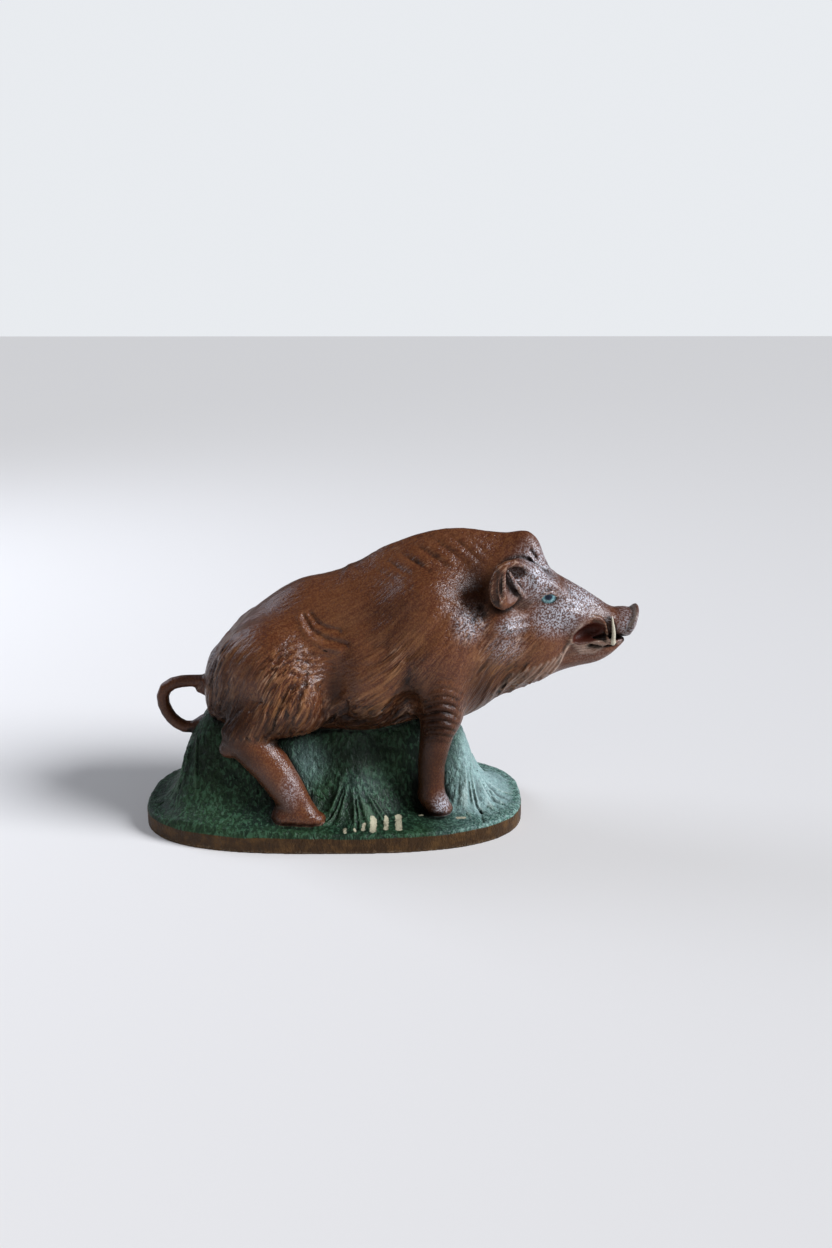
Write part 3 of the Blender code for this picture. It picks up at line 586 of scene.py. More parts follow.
# Broad valleys behind the neck and under the shoulder blade
VALLEYS = (
    ((80, 140), (52, 134), (26, 127), (8, 122)), ((74, 134), (62, 122), (48, 108), (44, 92)),
)
FLANK_RIDGE = ((-17.8, 126), (-12.6, 117), (-4, 111.6), (6, 109.4))
FLANK_FOLDS = (
    ((-16, 107), (0, 104.4)), ((-17, 103.4), (2, 101.4)), ((-16, 99.6), (2, 98.4)), ((-15, 95.8), (0, 95)),
)
FOREHEAD_PITS = (
    ((121.3, 163.4), (124.6, 159.2)), ((120.3, 158.2), (122.6, 154.2)), ((127, 150.9), (130.6, 150.9)),
)
NOSE_LINE = ((139.6, 131.6), (147, 130.4), (153.7, 128.6), (161.7, 127.9))
CHEEK_TUFT = (
    (118, 126.2), (111.5, 125.4), (106.6, 124.4), (105.4, 122.4), (108, 120.6), (113, 120.2), (119.5, 121),
)
CHEEK_FOLD = ((154.4, 121.5), (149.7, 115.8), (146.9, 108.7), (143.5, 101.7), (139.5, 93.9), (134.7, 88.4))


def stroke(x, z, line, width):
    """1 along a drawn line, and fading out at about its width on either side."""
    return np.exp(-((stroke_distance(x, z, line) / width) ** 2))


def creases(x, z):
    """Folds on the flank, pits on the forehead, and the lines of the nose, cheek and throat."""
    relief = 1.0 * stroke(x, z, FLANK_RIDGE, 1.8)
    for lines, depth, width in (
        (VALLEYS, 1.1, 5.0), (FLANK_CREASES, 1.5, 1.4), (FLANK_FOLDS, 0.6, 0.9), (FOREHEAD_PITS, 1.7, 1.2),
    ):
        for line in lines:
            relief = relief - depth * stroke(x, z, line, width)
    relief = relief - 0.9 * stroke(x, z, NOSE_LINE, 1.4)
    relief = relief + 1.2 * stroke(x, z, CHEEK_TUFT, 1.0)
    relief = relief + 1.9 * stroke(x, z, CHEEK_FOLD, 1.2)
    return relief + ruff_strands(x, z)


def elbow_wrinkles(x, z):
    """Bowed ridges above the elbow, one below another, down to the middle of the foreleg."""
    middle = 66 + 0.08 * (z - 70)
    bowed = z + 0.04 * (x - middle) ** 2
    inside = np.sqrt(bump(x, middle, 17) * bump(bowed, 73, 26))
    return inside * (2.3 * np.abs(np.sin(math.pi * bowed / 5.2)) ** 0.8 - 1.5)


def ruff_strands(x, z):
    """Long strands that hang back along the lower edge of the cheek and throat."""
    edge = profile(THROAT, x)
    across = 0.84 * x - 0.54 * z
    inside = bump(x, 114, 34) * np.clip((edge + 26 - z) / 12, 0, 1)
    sharp = 1 - np.abs(np.sin(math.pi * across / 5.4 + 0.8 * np.sin(z / 6) + 0.5 * np.sin(x / 4)))
    return 2.2 * inside * (sharp**1.6 - 0.2)


def mane_tufts(x, out, z, top):
    """Tufts lean back: each runs down and forwards from the crest."""
    low = top - z
    leaning = x - 1.3 * low
    swing = leaning / 9.5 + 0.35 * np.sin(leaning / 17.0)
    tuft = np.abs(np.sin(math.pi * swing)) ** 0.6 - 0.55
    inside = bump(x, 62, 50) * bump(low, 10, 13) * bump(out, 15, 15)
    return 2.0 * inside * tuft


def shaggy(x, z):
    """How deep the hair is: deep on the rump, thigh, belly, shoulder and ruff, shallow elsewhere."""
    rump = bump(x, -72, 30)
    thigh = bump(x, -28, 32) * np.clip((116 - z) / 16, 0, 1)
    belly = bump(x, 24, 46) * np.clip((88 - z) / 14, 0, 1)
    shoulder = 0.8 * bump(x, 42, 26) * bump(z, 102, 24)
    ruff = 0.5 * bump(x, 106, 32) * np.clip((126 - z) / 14, 0, 1)
    neck = 0.8 * bump(x, 84, 18) * bump(z, 124, 20)
    return 0.16 + 0.84 * np.maximum.reduce([rump, thigh, belly, shoulder, ruff, neck])

# %% Grass, bare skin and the edge of the coat
# Each fan of grass: (x, y of its root, compass from and to, reach in and out, blades, height)
GRASS_FANS = (
    (14.0, -30.0, -172.0, -8.0, 5.0, 31.0, 10, 1.9),
    (78.0, -2.0, -96.0, 8.0, 13.0, 40.0, 9, 1.7),
    (-84.0, -4.0, -178.0, -76.0, 12.0, 36.0, 9, 1.5),
    (24.0, 18.0, 42.0, 138.0, 12.0, 38.0, 9, 1.4),
)


def grass_blades(x, y):
    """Rounded blades, of uneven width and a little bent, that spread from the foot of each tuft."""
    relief = 0.0
    for at_x, at_y, start, stop, near, far, blades, height in GRASS_FANS:
        away = np.hypot(x - at_x, y - at_y)
        compass = np.degrees(np.arctan2(y - at_y, x - at_x))
        t = (compass - start) / (stop - start)
        turn = math.pi * (t * blades + 0.4 * np.sin(2.3 * blades * t) + 0.3 * np.sin(away / 6 + at_x))
        ripple = np.sin(turn) ** 2 - 0.5
        inside = np.clip(8 * t, 0, 1) * np.clip(8 * (1 - t), 0, 1)
        reach = far * (0.86 + 0.14 * np.sin(5.1 * blades * t))
        ends = np.clip((away - near) / 8, 0, 1) * np.clip((reach - away) / 5, 0, 1)
        relief = relief + height * ripple * inside * ends
    return relief


def boar_relief(places, slopes, lock_width, lock_depth):
    x, y, z = places
    out = np.abs(y)
    top = profile(MANE, x)
    lay = hair_direction(places, slopes)
    coat = 1 - bare_skin(x, out, z)
    locks = shaggy(x, z) * (hair_locks(places, lay, lock_width, 7 * lock_width) - 0.7)
    sideways = np.clip(np.abs(slopes[1]) * 1.6 - 0.3, 0, 1)
    carved = lock_depth * locks + mane_tufts(x, out, z, top) + sideways * creases(x, z)
    return coat * carved + sideways * elbow_wrinkles(x, z) + fringe(x, z)


def fringe(x, z):
    """The coat of the haunch ends above the shin in a step with a ragged edge."""
    edge = 57.5 + 1.3 * np.sin(1.25 * x) + 0.6 * np.sin(2.9 * x)
    return 1.1 * np.clip((z - edge) / 1.6, 0, 1) * bump(x, -38, 32) * np.clip((100 - z) / 30, 0, 1)


def bare_skin(x, out, z):
    """One on the smooth lower legs, tail, ears, eyes, lips and snout, and nothing on the coat."""
    legs = np.clip((57 - z) / 3, 0, 1)
    tail = np.clip((-78 - x) / 3, 0, 1)
    from_ear = np.sqrt(((x - 108) / 15) ** 2 + ((z - 150) / 16) ** 2 + ((out - 32) / 13) ** 2)
    ear = np.clip(1.5 - from_ear, 0, 0.5) * 2
    eye = np.clip(1.6 - np.sqrt(((x - 133.5) / 7) ** 2 + ((z - 136.8) / 5) ** 2), 0, 0.5) * 2
    mouth = np.clip(1.5 - np.sqrt(((x - 160) / 14) ** 2 + ((z - 113) / 11) ** 2), 0, 0.5) * 2
    snout = np.clip((x - 170) / 6, 0, 1)
    return np.maximum.reduce([legs, tail, ear, eye, mouth, snout])

# %% [markdown]
# The block of clay
#
# The block is a grid of cells, and each cell holds its distance to the surface. A form is worked into
# only the cells that it can reach. The skin is taken where the distance is zero.

# %% Work, carve and skin
def clay_axes(cell):
    reach = PLINTH_DEPTH / 2 / STEP + 4
    low = np.array([-124.0, -reach, -PLINTH_HEIGHT / STEP - 3.5 * cell])
    high = np.array([196.0, reach, 182.0])
    return low, [np.arange(a, b + cell, cell, dtype=np.float32) for a, b in zip(low, high)]


def work(field, axes, forms, tool, margin=18.0):
    """Adds or cuts each form in the block of clay, only within its reach."""
    for form, soft in forms:
        window = tuple(
            slice(np.searchsorted(a, lo - margin), np.searchsorted(a, hi + margin))
            for a, lo, hi in zip(axes, form.low, form.high)
        )
        x = axes[0][window[0]][:, None, None]
        y = axes[1][window[1]][None, :, None]
        z = axes[2][window[2]][None, None, :]
        field[window] = tool(field[window], form.distance(x, y, z), soft)


def figure_field(axes):
    field = np.full([len(a) for a in axes], 99.0, np.float32)
    body = torso() + head()
    for side, hind_forward, fore_forward in ((NEAR, 0.0, 0.0), (FAR, 7.0, -8.0)):
        body += hind_leg(side, hind_forward) + fore_leg(side, fore_forward)
    work(field, axes, body, joined)
    work(field, axes, armpits(), cut)
    work(field, axes, ears(), joined)
    work(field, axes, ear_hollows() + head_hollows(), cut)
    work(field, axes, ear_folds() + tusks() + eyes() + tail_loop(), joined)
    return field


def ground_field(axes):
    x, y, z = axes[0][:, None, None], axes[1][None, :, None], axes[2][None, None, :]
    plinth = plinth_distance(x, y, z)
    mound = mound_distance(x, y, z)
    skirt = np.maximum(mound, plinth_distance(x, y, np.minimum(z, -PLINTH_EDGE_RADIUS / STEP)) + 1.5)
    return joined(plinth, skirt, 4.0)


def carve(field, axes, relief, cell):
    """Moves the surface of the clay out by the relief, which is read only near the surface."""
    near = np.nonzero(np.abs(field) < 2.6 + cell)
    places = [axis[i] for axis, i in zip(axes, near)]
    slopes = [np.gradient(field, cell, axis=a)[near] for a in range(3)]
    field[near] -= relief(places, slopes)


def surface(field, low, cell):
    """The skin of the clay, as points in steps and quads."""
    block = openvdb.FloatGrid(3 * cell)
    block.copyFromArray(np.clip(field, -3 * cell, 3 * cell))
    points, quads = block.convertToQuads(isovalue=0.0)
    points = points * cell + low
    floor = -PLINTH_HEIGHT / STEP
    points[:, 2] = np.where(points[:, 2] < floor + 0.5 * cell, floor, points[:, 2])
    return points, quads

# %% [markdown]
# The fine clay
#
# The solid model carries the carving that shows from a step away. The painted cast needs the rest: two
# finer sets of locks in the furrows of the first, strands of grass, and the tooth of the plaster. They
# go into the same distances before the skin is taken, so no fold can cut through itself.

# %% Comb lines that follow the lie of the hair
COMB_CELL = 2.0


def comb(across):
    """A smooth map whose even steps run across the hair, or along it, found by relaxing a grid."""
    wide = np.arange(-126, 198, COMB_CELL)
    tall = np.arange(-14, 188, COMB_CELL)
    x, z = np.meshgrid(wide, tall, indexing="ij")
    side = (np.zeros_like(x), np.full_like(x, -1.0), np.zeros_like(x))
    lay = hair_direction((x, 0 * x, z), side)
    want_x, want_z = (lay[2], -lay[0]) if across else (lay[0], lay[2])
    spread = np.gradient(want_x, COMB_CELL, axis=0) + np.gradient(want_z, COMB_CELL, axis=1)
    lines = x * want_x.mean() + z * want_z.mean()
    for _ in range(4000):
        edge = np.pad(lines, 1, mode="edge")
        edge[0, 1:-1] -= COMB_CELL * want_x[0]
        edge[-1, 1:-1] += COMB_CELL * want_x[-1]
        edge[1:-1, 0] -= COMB_CELL * want_z[:, 0]
        edge[1:-1, -1] += COMB_CELL * want_z[:, -1]
        around = edge[:-2, 1:-1] + edge[2:, 1:-1] + edge[1:-1, :-2] + edge[1:-1, 2:]
        lines = (around - COMB_CELL**2 * spread) / 4
    return lines.astype(np.float32)


def combed(lines, x, z):
    """The comb map at the points, blended from the four cells round each."""
    spot = [(x + 126) / COMB_CELL, (z + 14) / COMB_CELL]
    first = [np.clip(np.floor(q).astype(int), 0, n - 2) for q, n in zip(spot, lines.shape)]
    s, t = (np.clip(q - f, 0, 1) for q, f in zip(spot, first))
    i, j = first
    low_row = lines[i, j] * (1 - s) + lines[i + 1, j] * s
    high_row = lines[i, j + 1] * (1 - s) + lines[i + 1, j + 1] * s
    return low_row * (1 - t) + high_row * t


ACROSS = comb(True)
ALONG = comb(False)
print("comb lines from", ACROSS.min(), "to", ACROSS.max())
print("and along from", ALONG.min(), "to", ALONG.max())

# %% Fine relief of coat and ground
FINE_CELL = 0.8
LOCK_WIDTH = 6.0
LOCK_DEPTH = 1.1
# Strands that stand up from the coat: width, length and height in steps
STRANDS = (3.0, 26.0, 1.0)


# Long pale hairs hang from the jaw and the ruff, and shorter ones lie along the jaw
PALE_HAIRS = []
for i in range(8):
    root = (141 - 4.2 * i, 101 - 1.6 * i)
    PALE_HAIRS.append((root, (root[0] - 5, root[1] - 7), (root[0] - 11.5, root[1] - 13.7)))
for i in range(5):
    root = (147.5 + 1.5 * i, 107.5 - 2 * i)
    PALE_HAIRS.append((root, (158 + i, 106.4 - 1.7 * i), (171 - i, 108 - 1.5 * i)))


def pale_hairs(x, z):
    """1 along each long pale hair, and 0 between them."""
    nearest = 99.0
    for line in PALE_HAIRS:
        nearest = np.minimum(nearest, stroke_distance(x, z, line))
    return np.exp(-((nearest / 0.8) ** 2))


def strands(x, y, z, width, length):
    """Thin raised strands, 1 on their ridge, that follow the comb lines."""
    lines, run = combed(ACROSS, x, z), combed(ALONG, x, z)
    wave = soft_noise(lines / width + 50, y / width + 50, run / length + 50)
    return 1 - np.minimum(np.abs(wave) / 0.42, 1)


def fine_boar_relief(places, slopes):
    x, y, z = places
    coat = 1 - bare_skin(x, np.abs(y), z)
    width, length, height = STRANDS
    raised = height * (strands(x, y, z, width, length) - 0.4)
    skin = 0.1 * soft_noise(x / 2.2, y / 2.2, z / 2.2) + 0.7 * pale_hairs(x, z)
    return boar_relief(places, slopes, LOCK_WIDTH, LOCK_DEPTH) + coat * shaggy(x, z) * raised + skin


# Grooves down the right end of the mound, and a crack behind it, as (x, y) on the ground
GROOVES = (
    ((86.8, 24.8), (91.9, -13.9), (93.1, -45)), ((93.1, -45), (88.3, -21.2), (80, 2)),
    ((99.5, 24.7), (104, 18), (108.1, 13.4)), ((104, -30), (98, -10), (90, 8)),
)


def fine_ground_relief(places, slopes):
    x, y, z = places
    top = np.clip(slopes[2] * 3, 0, 1)
    rough = 0.3 * soft_noise(x / 3.1, y / 3.1, z / 3.1)
    cuts = 0.0
    for line in GROOVES:
        cuts = cuts - 0.7 * stroke(x, y, line, 0.8)
    leaf = soft_noise(x / 2.3, y / 2.3 + 5, z / 9.0)
    wall = np.clip(z / 12, 0, 1) * 0.8 * (np.minimum(np.abs(leaf) / 0.12, 1) - 0.6)
    side = 0.1 * soft_noise(x / 2.5, y / 2.5, z / 2.5)
    return top * (grass_blades(x, y) + cuts) + np.clip(z + 1.5, 0, 1) * (rough + wall) + side


# %% Mix the clay and take its skin
low, axes = clay_axes(FINE_CELL)
figure = figure_field(axes)
carve(figure, axes, fine_boar_relief, FINE_CELL)
ground = ground_field(axes)
carve(ground, axes, fine_ground_relief, FINE_CELL)
whole = joined(ground, figure, 1.2)
points, quads = surface(whole, low, FINE_CELL)
print(len(points), "points and", len(quads), "quads from a block of", [len(a) for a in axes], "cells")

# %% Thin the skin to a mesh that others can open
MOST_TRIANGLES = 192000

place = points * STEP
place[:, 2] += PLINTH_HEIGHT
dense = bpy.data.meshes.new("dense clay")
dense.from_pydata(place.tolist(), [], quads.tolist())
clay_object = bpy.data.objects.new("dense clay", dense)
bpy.context.scene.collection.objects.link(clay_object)
thin = clay_object.modifiers.new("thin", "DECIMATE")
thin.ratio = MOST_TRIANGLES / (2 * len(quads))
graph = bpy.context.evaluated_depsgraph_get()
cast_data = bpy.data.meshes.new_from_object(clay_object.evaluated_get(graph))
bpy.data.objects.remove(clay_object)
cast_data.name = "boar_cast"
cast_data.shade_smooth()
cast = bpy.data.objects.new("boar_cast", cast_data)
bpy.context.scene.collection.objects.link(cast)
print(len(cast_data.vertices), "points and", len(cast_data.polygons), "triangles in the cast")

# %% [markdown]
# What the painter goes by
#
# A painter reads the relief: the furrows are painted darker, a dry brush catches the ridges, and the
# green stops where the boar begins. Painted shade goes into the hollows, under the belly and down the
# rear of the legs, and painted light of the window onto the head and the right end of the mound. Each of
# those is measured here at every point of the cast, and kept on the mesh, so the paint follows the
# surface with no image and no seam.

# %% Measures on the cast
def sample(block, at):
    """The block's value at the points, in steps, blended from the eight cells round each."""
    spot = (at - low) / FINE_CELL
    first = [np.clip(np.floor(spot[:, a]).astype(int), 0, block.shape[a] - 2) for a in range(3)]
    part = [np.clip(spot[:, a] - first[a], 0, 1) for a in range(3)]
    total = 0.0
    for i in (0, 1):
        for j in (0, 1):
            for k in (0, 1):
                share = 1.0
                for p, end in zip(part, (i, j, k)):
                    share = share * (p if end else 1 - p)
                total = total + share * block[first[0] + i, first[1] + j, first[2] + k]
    return total


def keep(name, values):
    kept = cast_data.attributes.new(name, "FLOAT", "POINT")
    kept.data.foreach_set("value", np.asarray(values, np.float32))
    print(name, "from", round(float(np.min(values)), 2), "to", round(float(np.max(values)), 2))


count = len(cast_data.vertices)
spots = np.empty(count * 3, np.float32)
cast_data.vertices.foreach_get("co", spots)
spots = spots.reshape(-1, 3)
spots = (spots - (0, 0, PLINTH_HEIGHT)) / STEP
outward = np.empty(count * 3, np.float32)
cast_data.vertex_normals.foreach_get("vector", outward)
outward = outward.reshape(-1, 3)
x, y, z = spots.T
out = np.abs(y)
coat = 1 - bare_skin(x, out, z)

keep("earth", sample(figure, spots) - sample(ground, spots))
# How open each point is to the sky; the paint lays painted shade where little is open
open_sky = 0.0
for far, share in ((2.5, 0.3), (6.0, 0.4), (12.0, 0.3)):
    open_sky = open_sky + share * np.clip(sample(whole, spots + far * outward) / far, 0, 1)
keep("open_sky", open_sky)
shag = coat * shaggy(x, z)
keep("shag", shag)
INNER = 2.0
keep("furrow", 1 - np.clip(sample(whole, spots + INNER * outward) / INNER, 0, 1))
keep("edge", 1 - np.clip(-sample(whole, spots - INNER * outward) / INNER, 0, 1))
keep("across", combed(ACROSS, x, z) * STEP)
keep("along", combed(ALONG, x, z) * STEP)

# Where the colour changes, as (x, z, half length, half height, strength): warm ochre paint on the
# thigh, belly and ruff; a pale bluish dry brush on the head, neck, rump and feet, which is partly a
# painted highlight of the window; painted shade in dark chocolate in sheltered places and on the mound
# under the belly; and the window's cool light painted in teal on the mound and its right end
PLACES = {
    "ochre": (
        (-26, 74, 20, 20, 0.7), (30, 88, 34, 20, 0.55), (100, 98, 22, 22, 1.0), (0, 120, 30, 22, 0.35),
        (54, 120, 26, 22, 0.4), (112, 120, 16, 14, 0.5),
    ),
    "dry_brush_and_highlight": (
        (126, 152, 20, 24, 1.0), (152, 134, 32, 15, 1.0), (112, 150, 14, 14, 0.5), (110, 122, 14, 9, 0.9),
        (138, 126, 24, 17, 0.9), (84, 126, 14, 16, 0.6), (-76, 100, 12, 24, 0.55), (-24, 26, 8, 16, 0.35),
        (68, 9, 9, 11, 0.9), (184, 116, 14, 17, 0.6), (160, 98, 26, 8, 0.1), (106, 108, 16, 14, 0.4),
    ),
    "painted_shade": (
        (88, 146, 14, 24, 1.0), (-62, 68, 32, 32, 1.0), (-30, 62, 34, 16, 0.9), (14, 64, 54, 22, 1.0),
        (2, 84, 12, 28, 0.8), (64, 68, 22, 42, 1.0), (92, 82, 18, 30, 0.9), (-96, 64, 22, 24, 1.0),
        (-74, 86, 16, 30, 0.7), (50, 84, 14, 22, 0.9), (162, 111, 14, 6, 0.9), (-50, 46, 16, 12, 0.6),
        (14, 40, 46, 20, 1.0), (62, 32, 18, 30, 0.7), (-78, 40, 20, 24, 0.7), (66, 40, 16, 24, 0.7),
    ),
    "painted_window_light": (
        (-14, 34, 18, 20, 0.25), (22, 22, 26, 14, 0.05), (108, 16, 56, 62, 1.0), (84, 30, 12, 32, 0.8),
    ),
}
for name, places in PLACES.items():
    worth = 0.0
    for at_x, at_z, long, tall, strength in places:
        worth = np.maximum(worth, strength * bump(np.hypot((x - at_x) / long, (z - at_z) / tall), 0, 1))
    keep(name, worth)
# Painted shade down the rear of each leg, on faces that point back, fading out towards the body
keep("painted_rear_shade", np.clip(-1.4 * outward[:, 0], 0, 1) * np.clip((74 - z) / 20, 0, 1))
# Drawn ridges and the long pale hairs, painted pale along their whole length
SNOUT_RIM = ((182.0, 134.2), (185.6, 133.6), (187.6, 128.5), (187.2, 122.5), (183.4, 116.4))
pale = np.minimum(stroke_distance(x, z, CHEEK_FOLD), stroke_distance(x, z, SNOUT_RIM))
pale = np.maximum(np.exp(-((pale / 0.8) ** 2)), 0.8 * pale_hairs(x, z))
keep("rib", pale * (z > 60))
blades = np.where(outward[:, 2] > 0.1, grass_blades(x, y), 0)
keep("blade", blades)


def nearest_form(forms):
    nearest = np.full(count, 99.0)
    for form, _ in forms:
        nearest = np.minimum(nearest, form.distance(x, y, z))
    return nearest


keep("tusk", nearest_form(tusks()[:1]))
keep("mouth", nearest_form(head_hollows()[1:2]))
keep("eye", nearest_form(eyes()[:1]))

# %% [markdown]
# The paint
#
# Plaster itself is chalky and white. Oil paint in browns and greens was laid on it by hand, thin enough
# to show the relief, and a satin varnish over it has gone slightly grainy. That grain breaks every
# highlight into sparks. One layered material does all of it, as the paint does on the real cast. The
# same layers also carry painted shade in the hollows, under the belly and down the rear of the legs,
# and painted highlights, painted sparks and cool window light on the head and on the right end of the
# mound.

# %% Small tools for paint
def linear(hex_colour):
    """A colour from sRGB hex to the linear values that Blender works in."""
    parts = [int(hex_colour[i : i + 2], 16) / 255 for i in (1, 3, 5)]
    return [p / 12.92 if p <= 0.04045 else ((p + 0.055) / 1.055) ** 2.4 for p in parts] + [1.0]


def add(tree, kind, inputs=(), **settings):
    """Adds a node. Each input is a constant, or another node's output to link from."""
    made = tree.nodes.new(kind)
    for name, value in settings.items():
        setattr(made, name, value)
    for key, value in dict(inputs).items():
        if isinstance(value, bpy.types.NodeSocket):
            tree.links.new(value, made.inputs[key])
        else:
            made.inputs[key].default_value = value
    return made.outputs


# %% Painted plaster: masks and patterns
# Oil paint and old varnish on cast plaster: deep browns and greens, satin, with a grainy sparkle,
# and with painted shade, painted highlights and painted window light in its colours
paint = bpy.data.materials.new("painted_plaster")
paint.use_nodes = True
tree = paint.node_tree
tree.nodes.clear()
where = add(tree, "ShaderNodeTexCoord")["Object"]
measure = {}
for name in ("earth", "open_sky", "furrow", "edge", "shag", "across", "along", "painted_shade", "painted_rear_shade", "rib",
    "painted_window_light", "blade", "ochre", "dry_brush_and_highlight", "tusk", "mouth", "eye"):
    measure[name] = add(tree, "ShaderNodeAttribute", attribute_name=name)["Fac"]
spot = add(tree, "ShaderNodeSeparateXYZ", {0: where})

# Soft patterns: name, size of a blotch in metres, detail and roughness
PATTERNS = {
    "cloud": (0.030, 3, 0.55), "mottle": (0.008, 4, 0.6),
    "grit": (0.0011, 2, 0.55), "grain": (0.0009, 1, 0.5),
}
pattern = {}
for name, (size, detail, rough) in PATTERNS.items():
    settings = {"Vector": where, "Scale": 1 / size, "Detail": detail, "Roughness": rough}
    pattern[name] = add(tree, "ShaderNodeTexNoise", settings)["Fac"]

# Brush strokes and fine hairs follow the comb lines: noise is squeezed across them and drawn out along
combed_place = {0: measure["across"], 1: spot["Y"], 2: measure["along"]}
combed_place = add(tree, "ShaderNodeCombineXYZ", combed_place)[0]
# A stroke is about 2.4 mm wide and 28 mm long, and a hair 1.1 mm wide and 11 mm long
HAIRS = {"stroke": ((420, 420, 36), 2), "hair": ((900, 900, 90), 2)}
for name, (squeeze, detail) in HAIRS.items():
    drawn = add(tree, "ShaderNodeVectorMath", {0: combed_place, 1: squeeze}, operation="MULTIPLY")[0]
    settings = {"Vector": drawn, "Scale": 1.0, "Detail": detail, "Roughness": 0.55}
    pattern[name] = add(tree, "ShaderNodeTexNoise", settings)["Fac"]

# Leafy flecks on the green hang down the mound, about 2 mm wide
hang = add(tree, "ShaderNodeVectorMath", {0: where, 1: (1.0, 1.0, 0.45)}, operation="MULTIPLY")[0]
leafy = {"Vector": hang, "Scale": 1 / 0.0021, "Detail": 3.0, "Roughness": 0.6, "Distortion": 0.6}
pattern["leaf"] = add(tree, "ShaderNodeTexNoise", leafy)["Fac"]

# Masks: name, measure, where it starts and where it is full
MASKS = {
    "ground": (measure["earth"], -0.2, 0.5),
    "furrow": (measure["furrow"], 0.10, 0.42),
    "edge": (measure["edge"], 0.10, 0.45),
    "blade": (measure["blade"], 0.1, 0.9),
    "gap": (measure["blade"], -0.2, -0.9),
    "hollow": (measure["open_sky"], 0.74, 0.30),
    "stroke": (pattern["stroke"], 0.50, 0.66),
    "dark_stroke": (pattern["stroke"], 0.48, 0.34),
    "hair": (pattern["hair"], 0.50, 0.62),
    "dark_hair": (pattern["hair"], 0.48, 0.36),
    "leaf": (pattern["leaf"], 0.50, 0.60),
    "dark_leaf": (pattern["leaf"], 0.50, 0.40),
    "blotch": (pattern["mottle"], 0.42, 0.66),
    "haze": (pattern["cloud"], 0.40, 0.64),
    "spark": (pattern["grit"], 0.47, 0.57),
    "tusk": (measure["tusk"], 0.7, 0.2),
    "mouth": (measure["mouth"], 1.6, 0.4),
    "eye": (measure["eye"], 0.7, 0.35),
}
mask = {}
for name, (value, start, full) in MASKS.items():
    ends = {"Value": value, "From Min": start, "From Max": full}
    mask[name] = add(tree, "ShaderNodeMapRange", ends, interpolation_type="SMOOTHSTEP")[0]


# %% Painted plaster: the layers
# The rim of the plinth is brown below a line that a steady hand drew, but not a ruler
waves = add(tree, "ShaderNodeTexNoise", {"Vector": where, "Scale": 45.0, "Detail": 1})["Fac"]
hand_line = {0: waves, 1: 0.0022, 2: spot["Z"]}
hand_line = add(tree, "ShaderNodeMath", hand_line, operation="MULTIPLY_ADD")[0]
rim = add(tree, "ShaderNodeMapRange", {"Value": hand_line, "From Min": 0.0112, "From Max": 0.0106})[0]

# Each layer: its colour, how much it covers at most, and the masks that it lies within
COAT_LAYERS = (
    ("#673c24", 0.5, mask["haze"]),
    ("#80532f", 0.35, mask["spark"]),
    ("#84582f", 0.6, measure["ochre"], mask["blotch"]),
    ("#27130b", 0.8, mask["dark_stroke"], measure["shag"]),
    ("#946a44", 0.5, mask["stroke"], measure["shag"]),
    ("#9c6834", 0.7, measure["ochre"], mask["stroke"], measure["shag"]),
    ("#20100a", 0.5, mask["dark_hair"], measure["shag"]),
    ("#a0704a", 0.4, mask["hair"], measure["shag"]),
    ("#a5866e", 0.6, mask["edge"], mask["hair"]),
    # A pale bluish dry brush that is partly a painted highlight; its bright flecks are painted glints
    ("#837c7e", 0.35, measure["dry_brush_and_highlight"]),
    ("#cfd4de", 0.75, measure["dry_brush_and_highlight"], mask["spark"]),
    # Painted shade in sheltered places and down the rear of each leg
    ("#1c0d07", 0.84, measure["painted_shade"]),
    ("#1c0d07", 0.7, measure["painted_rear_shade"]),
    ("#1c0d07", 0.75, mask["furrow"]),
    ("#b8a494", 0.5, measure["rib"]),
    # Painted shade in the hollows, where little sky is open
    ("#150905", 0.85, mask["hollow"]),
)
GROUND_LAYERS = (
    ("#11201a", 0.8, mask["haze"]),
    ("#0f2418", 0.6, mask["dark_leaf"]),
    ("#42684e", 0.55, mask["leaf"]),
    ("#5d7a60", 0.35, mask["blade"]),
    # The window's cool light painted on the mound, with painted highlights on its flecks, blades and edges
    ("#3f7468", 0.7, measure["painted_window_light"]),
    ("#16302a", 0.85, measure["painted_window_light"], mask["dark_leaf"]),
    ("#8fb0a6", 0.6, measure["painted_window_light"], mask["leaf"]),
    ("#c2d6d0", 0.3, measure["painted_window_light"], mask["spark"]),
    ("#bccbc2", 0.7, measure["painted_window_light"], mask["blade"]),
    ("#a8c4c4", 0.6, measure["painted_window_light"], mask["edge"]),
    ("#0b140b", 0.55, mask["gap"]),
    # Painted shade on the mound under the belly and in its hollows
    ("#060d08", 0.85, measure["painted_shade"]),
    ("#060c07", 0.95, mask["hollow"]),
    ("#3a2610", 1.0, rim),
    ("#5f4322", 0.6, rim, mask["blotch"]),
    ("#8a7a62", 0.5, rim, mask["edge"], mask["spark"]),
)
colour = {}
for name, base, layers in (("coat", "#4e2614", COAT_LAYERS), ("ground", "#243c24", GROUND_LAYERS)):
    here = linear(base)
    for hex_colour, cover, *within in layers:
        for part in within:
            cover = add(tree, "ShaderNodeMath", {0: cover, 1: part}, operation="MULTIPLY")[0]
        here = {0: cover, 6: here, 7: linear(hex_colour)}
        here = add(tree, "ShaderNodeMix", here, data_type="RGBA")[2]
    colour[name] = here

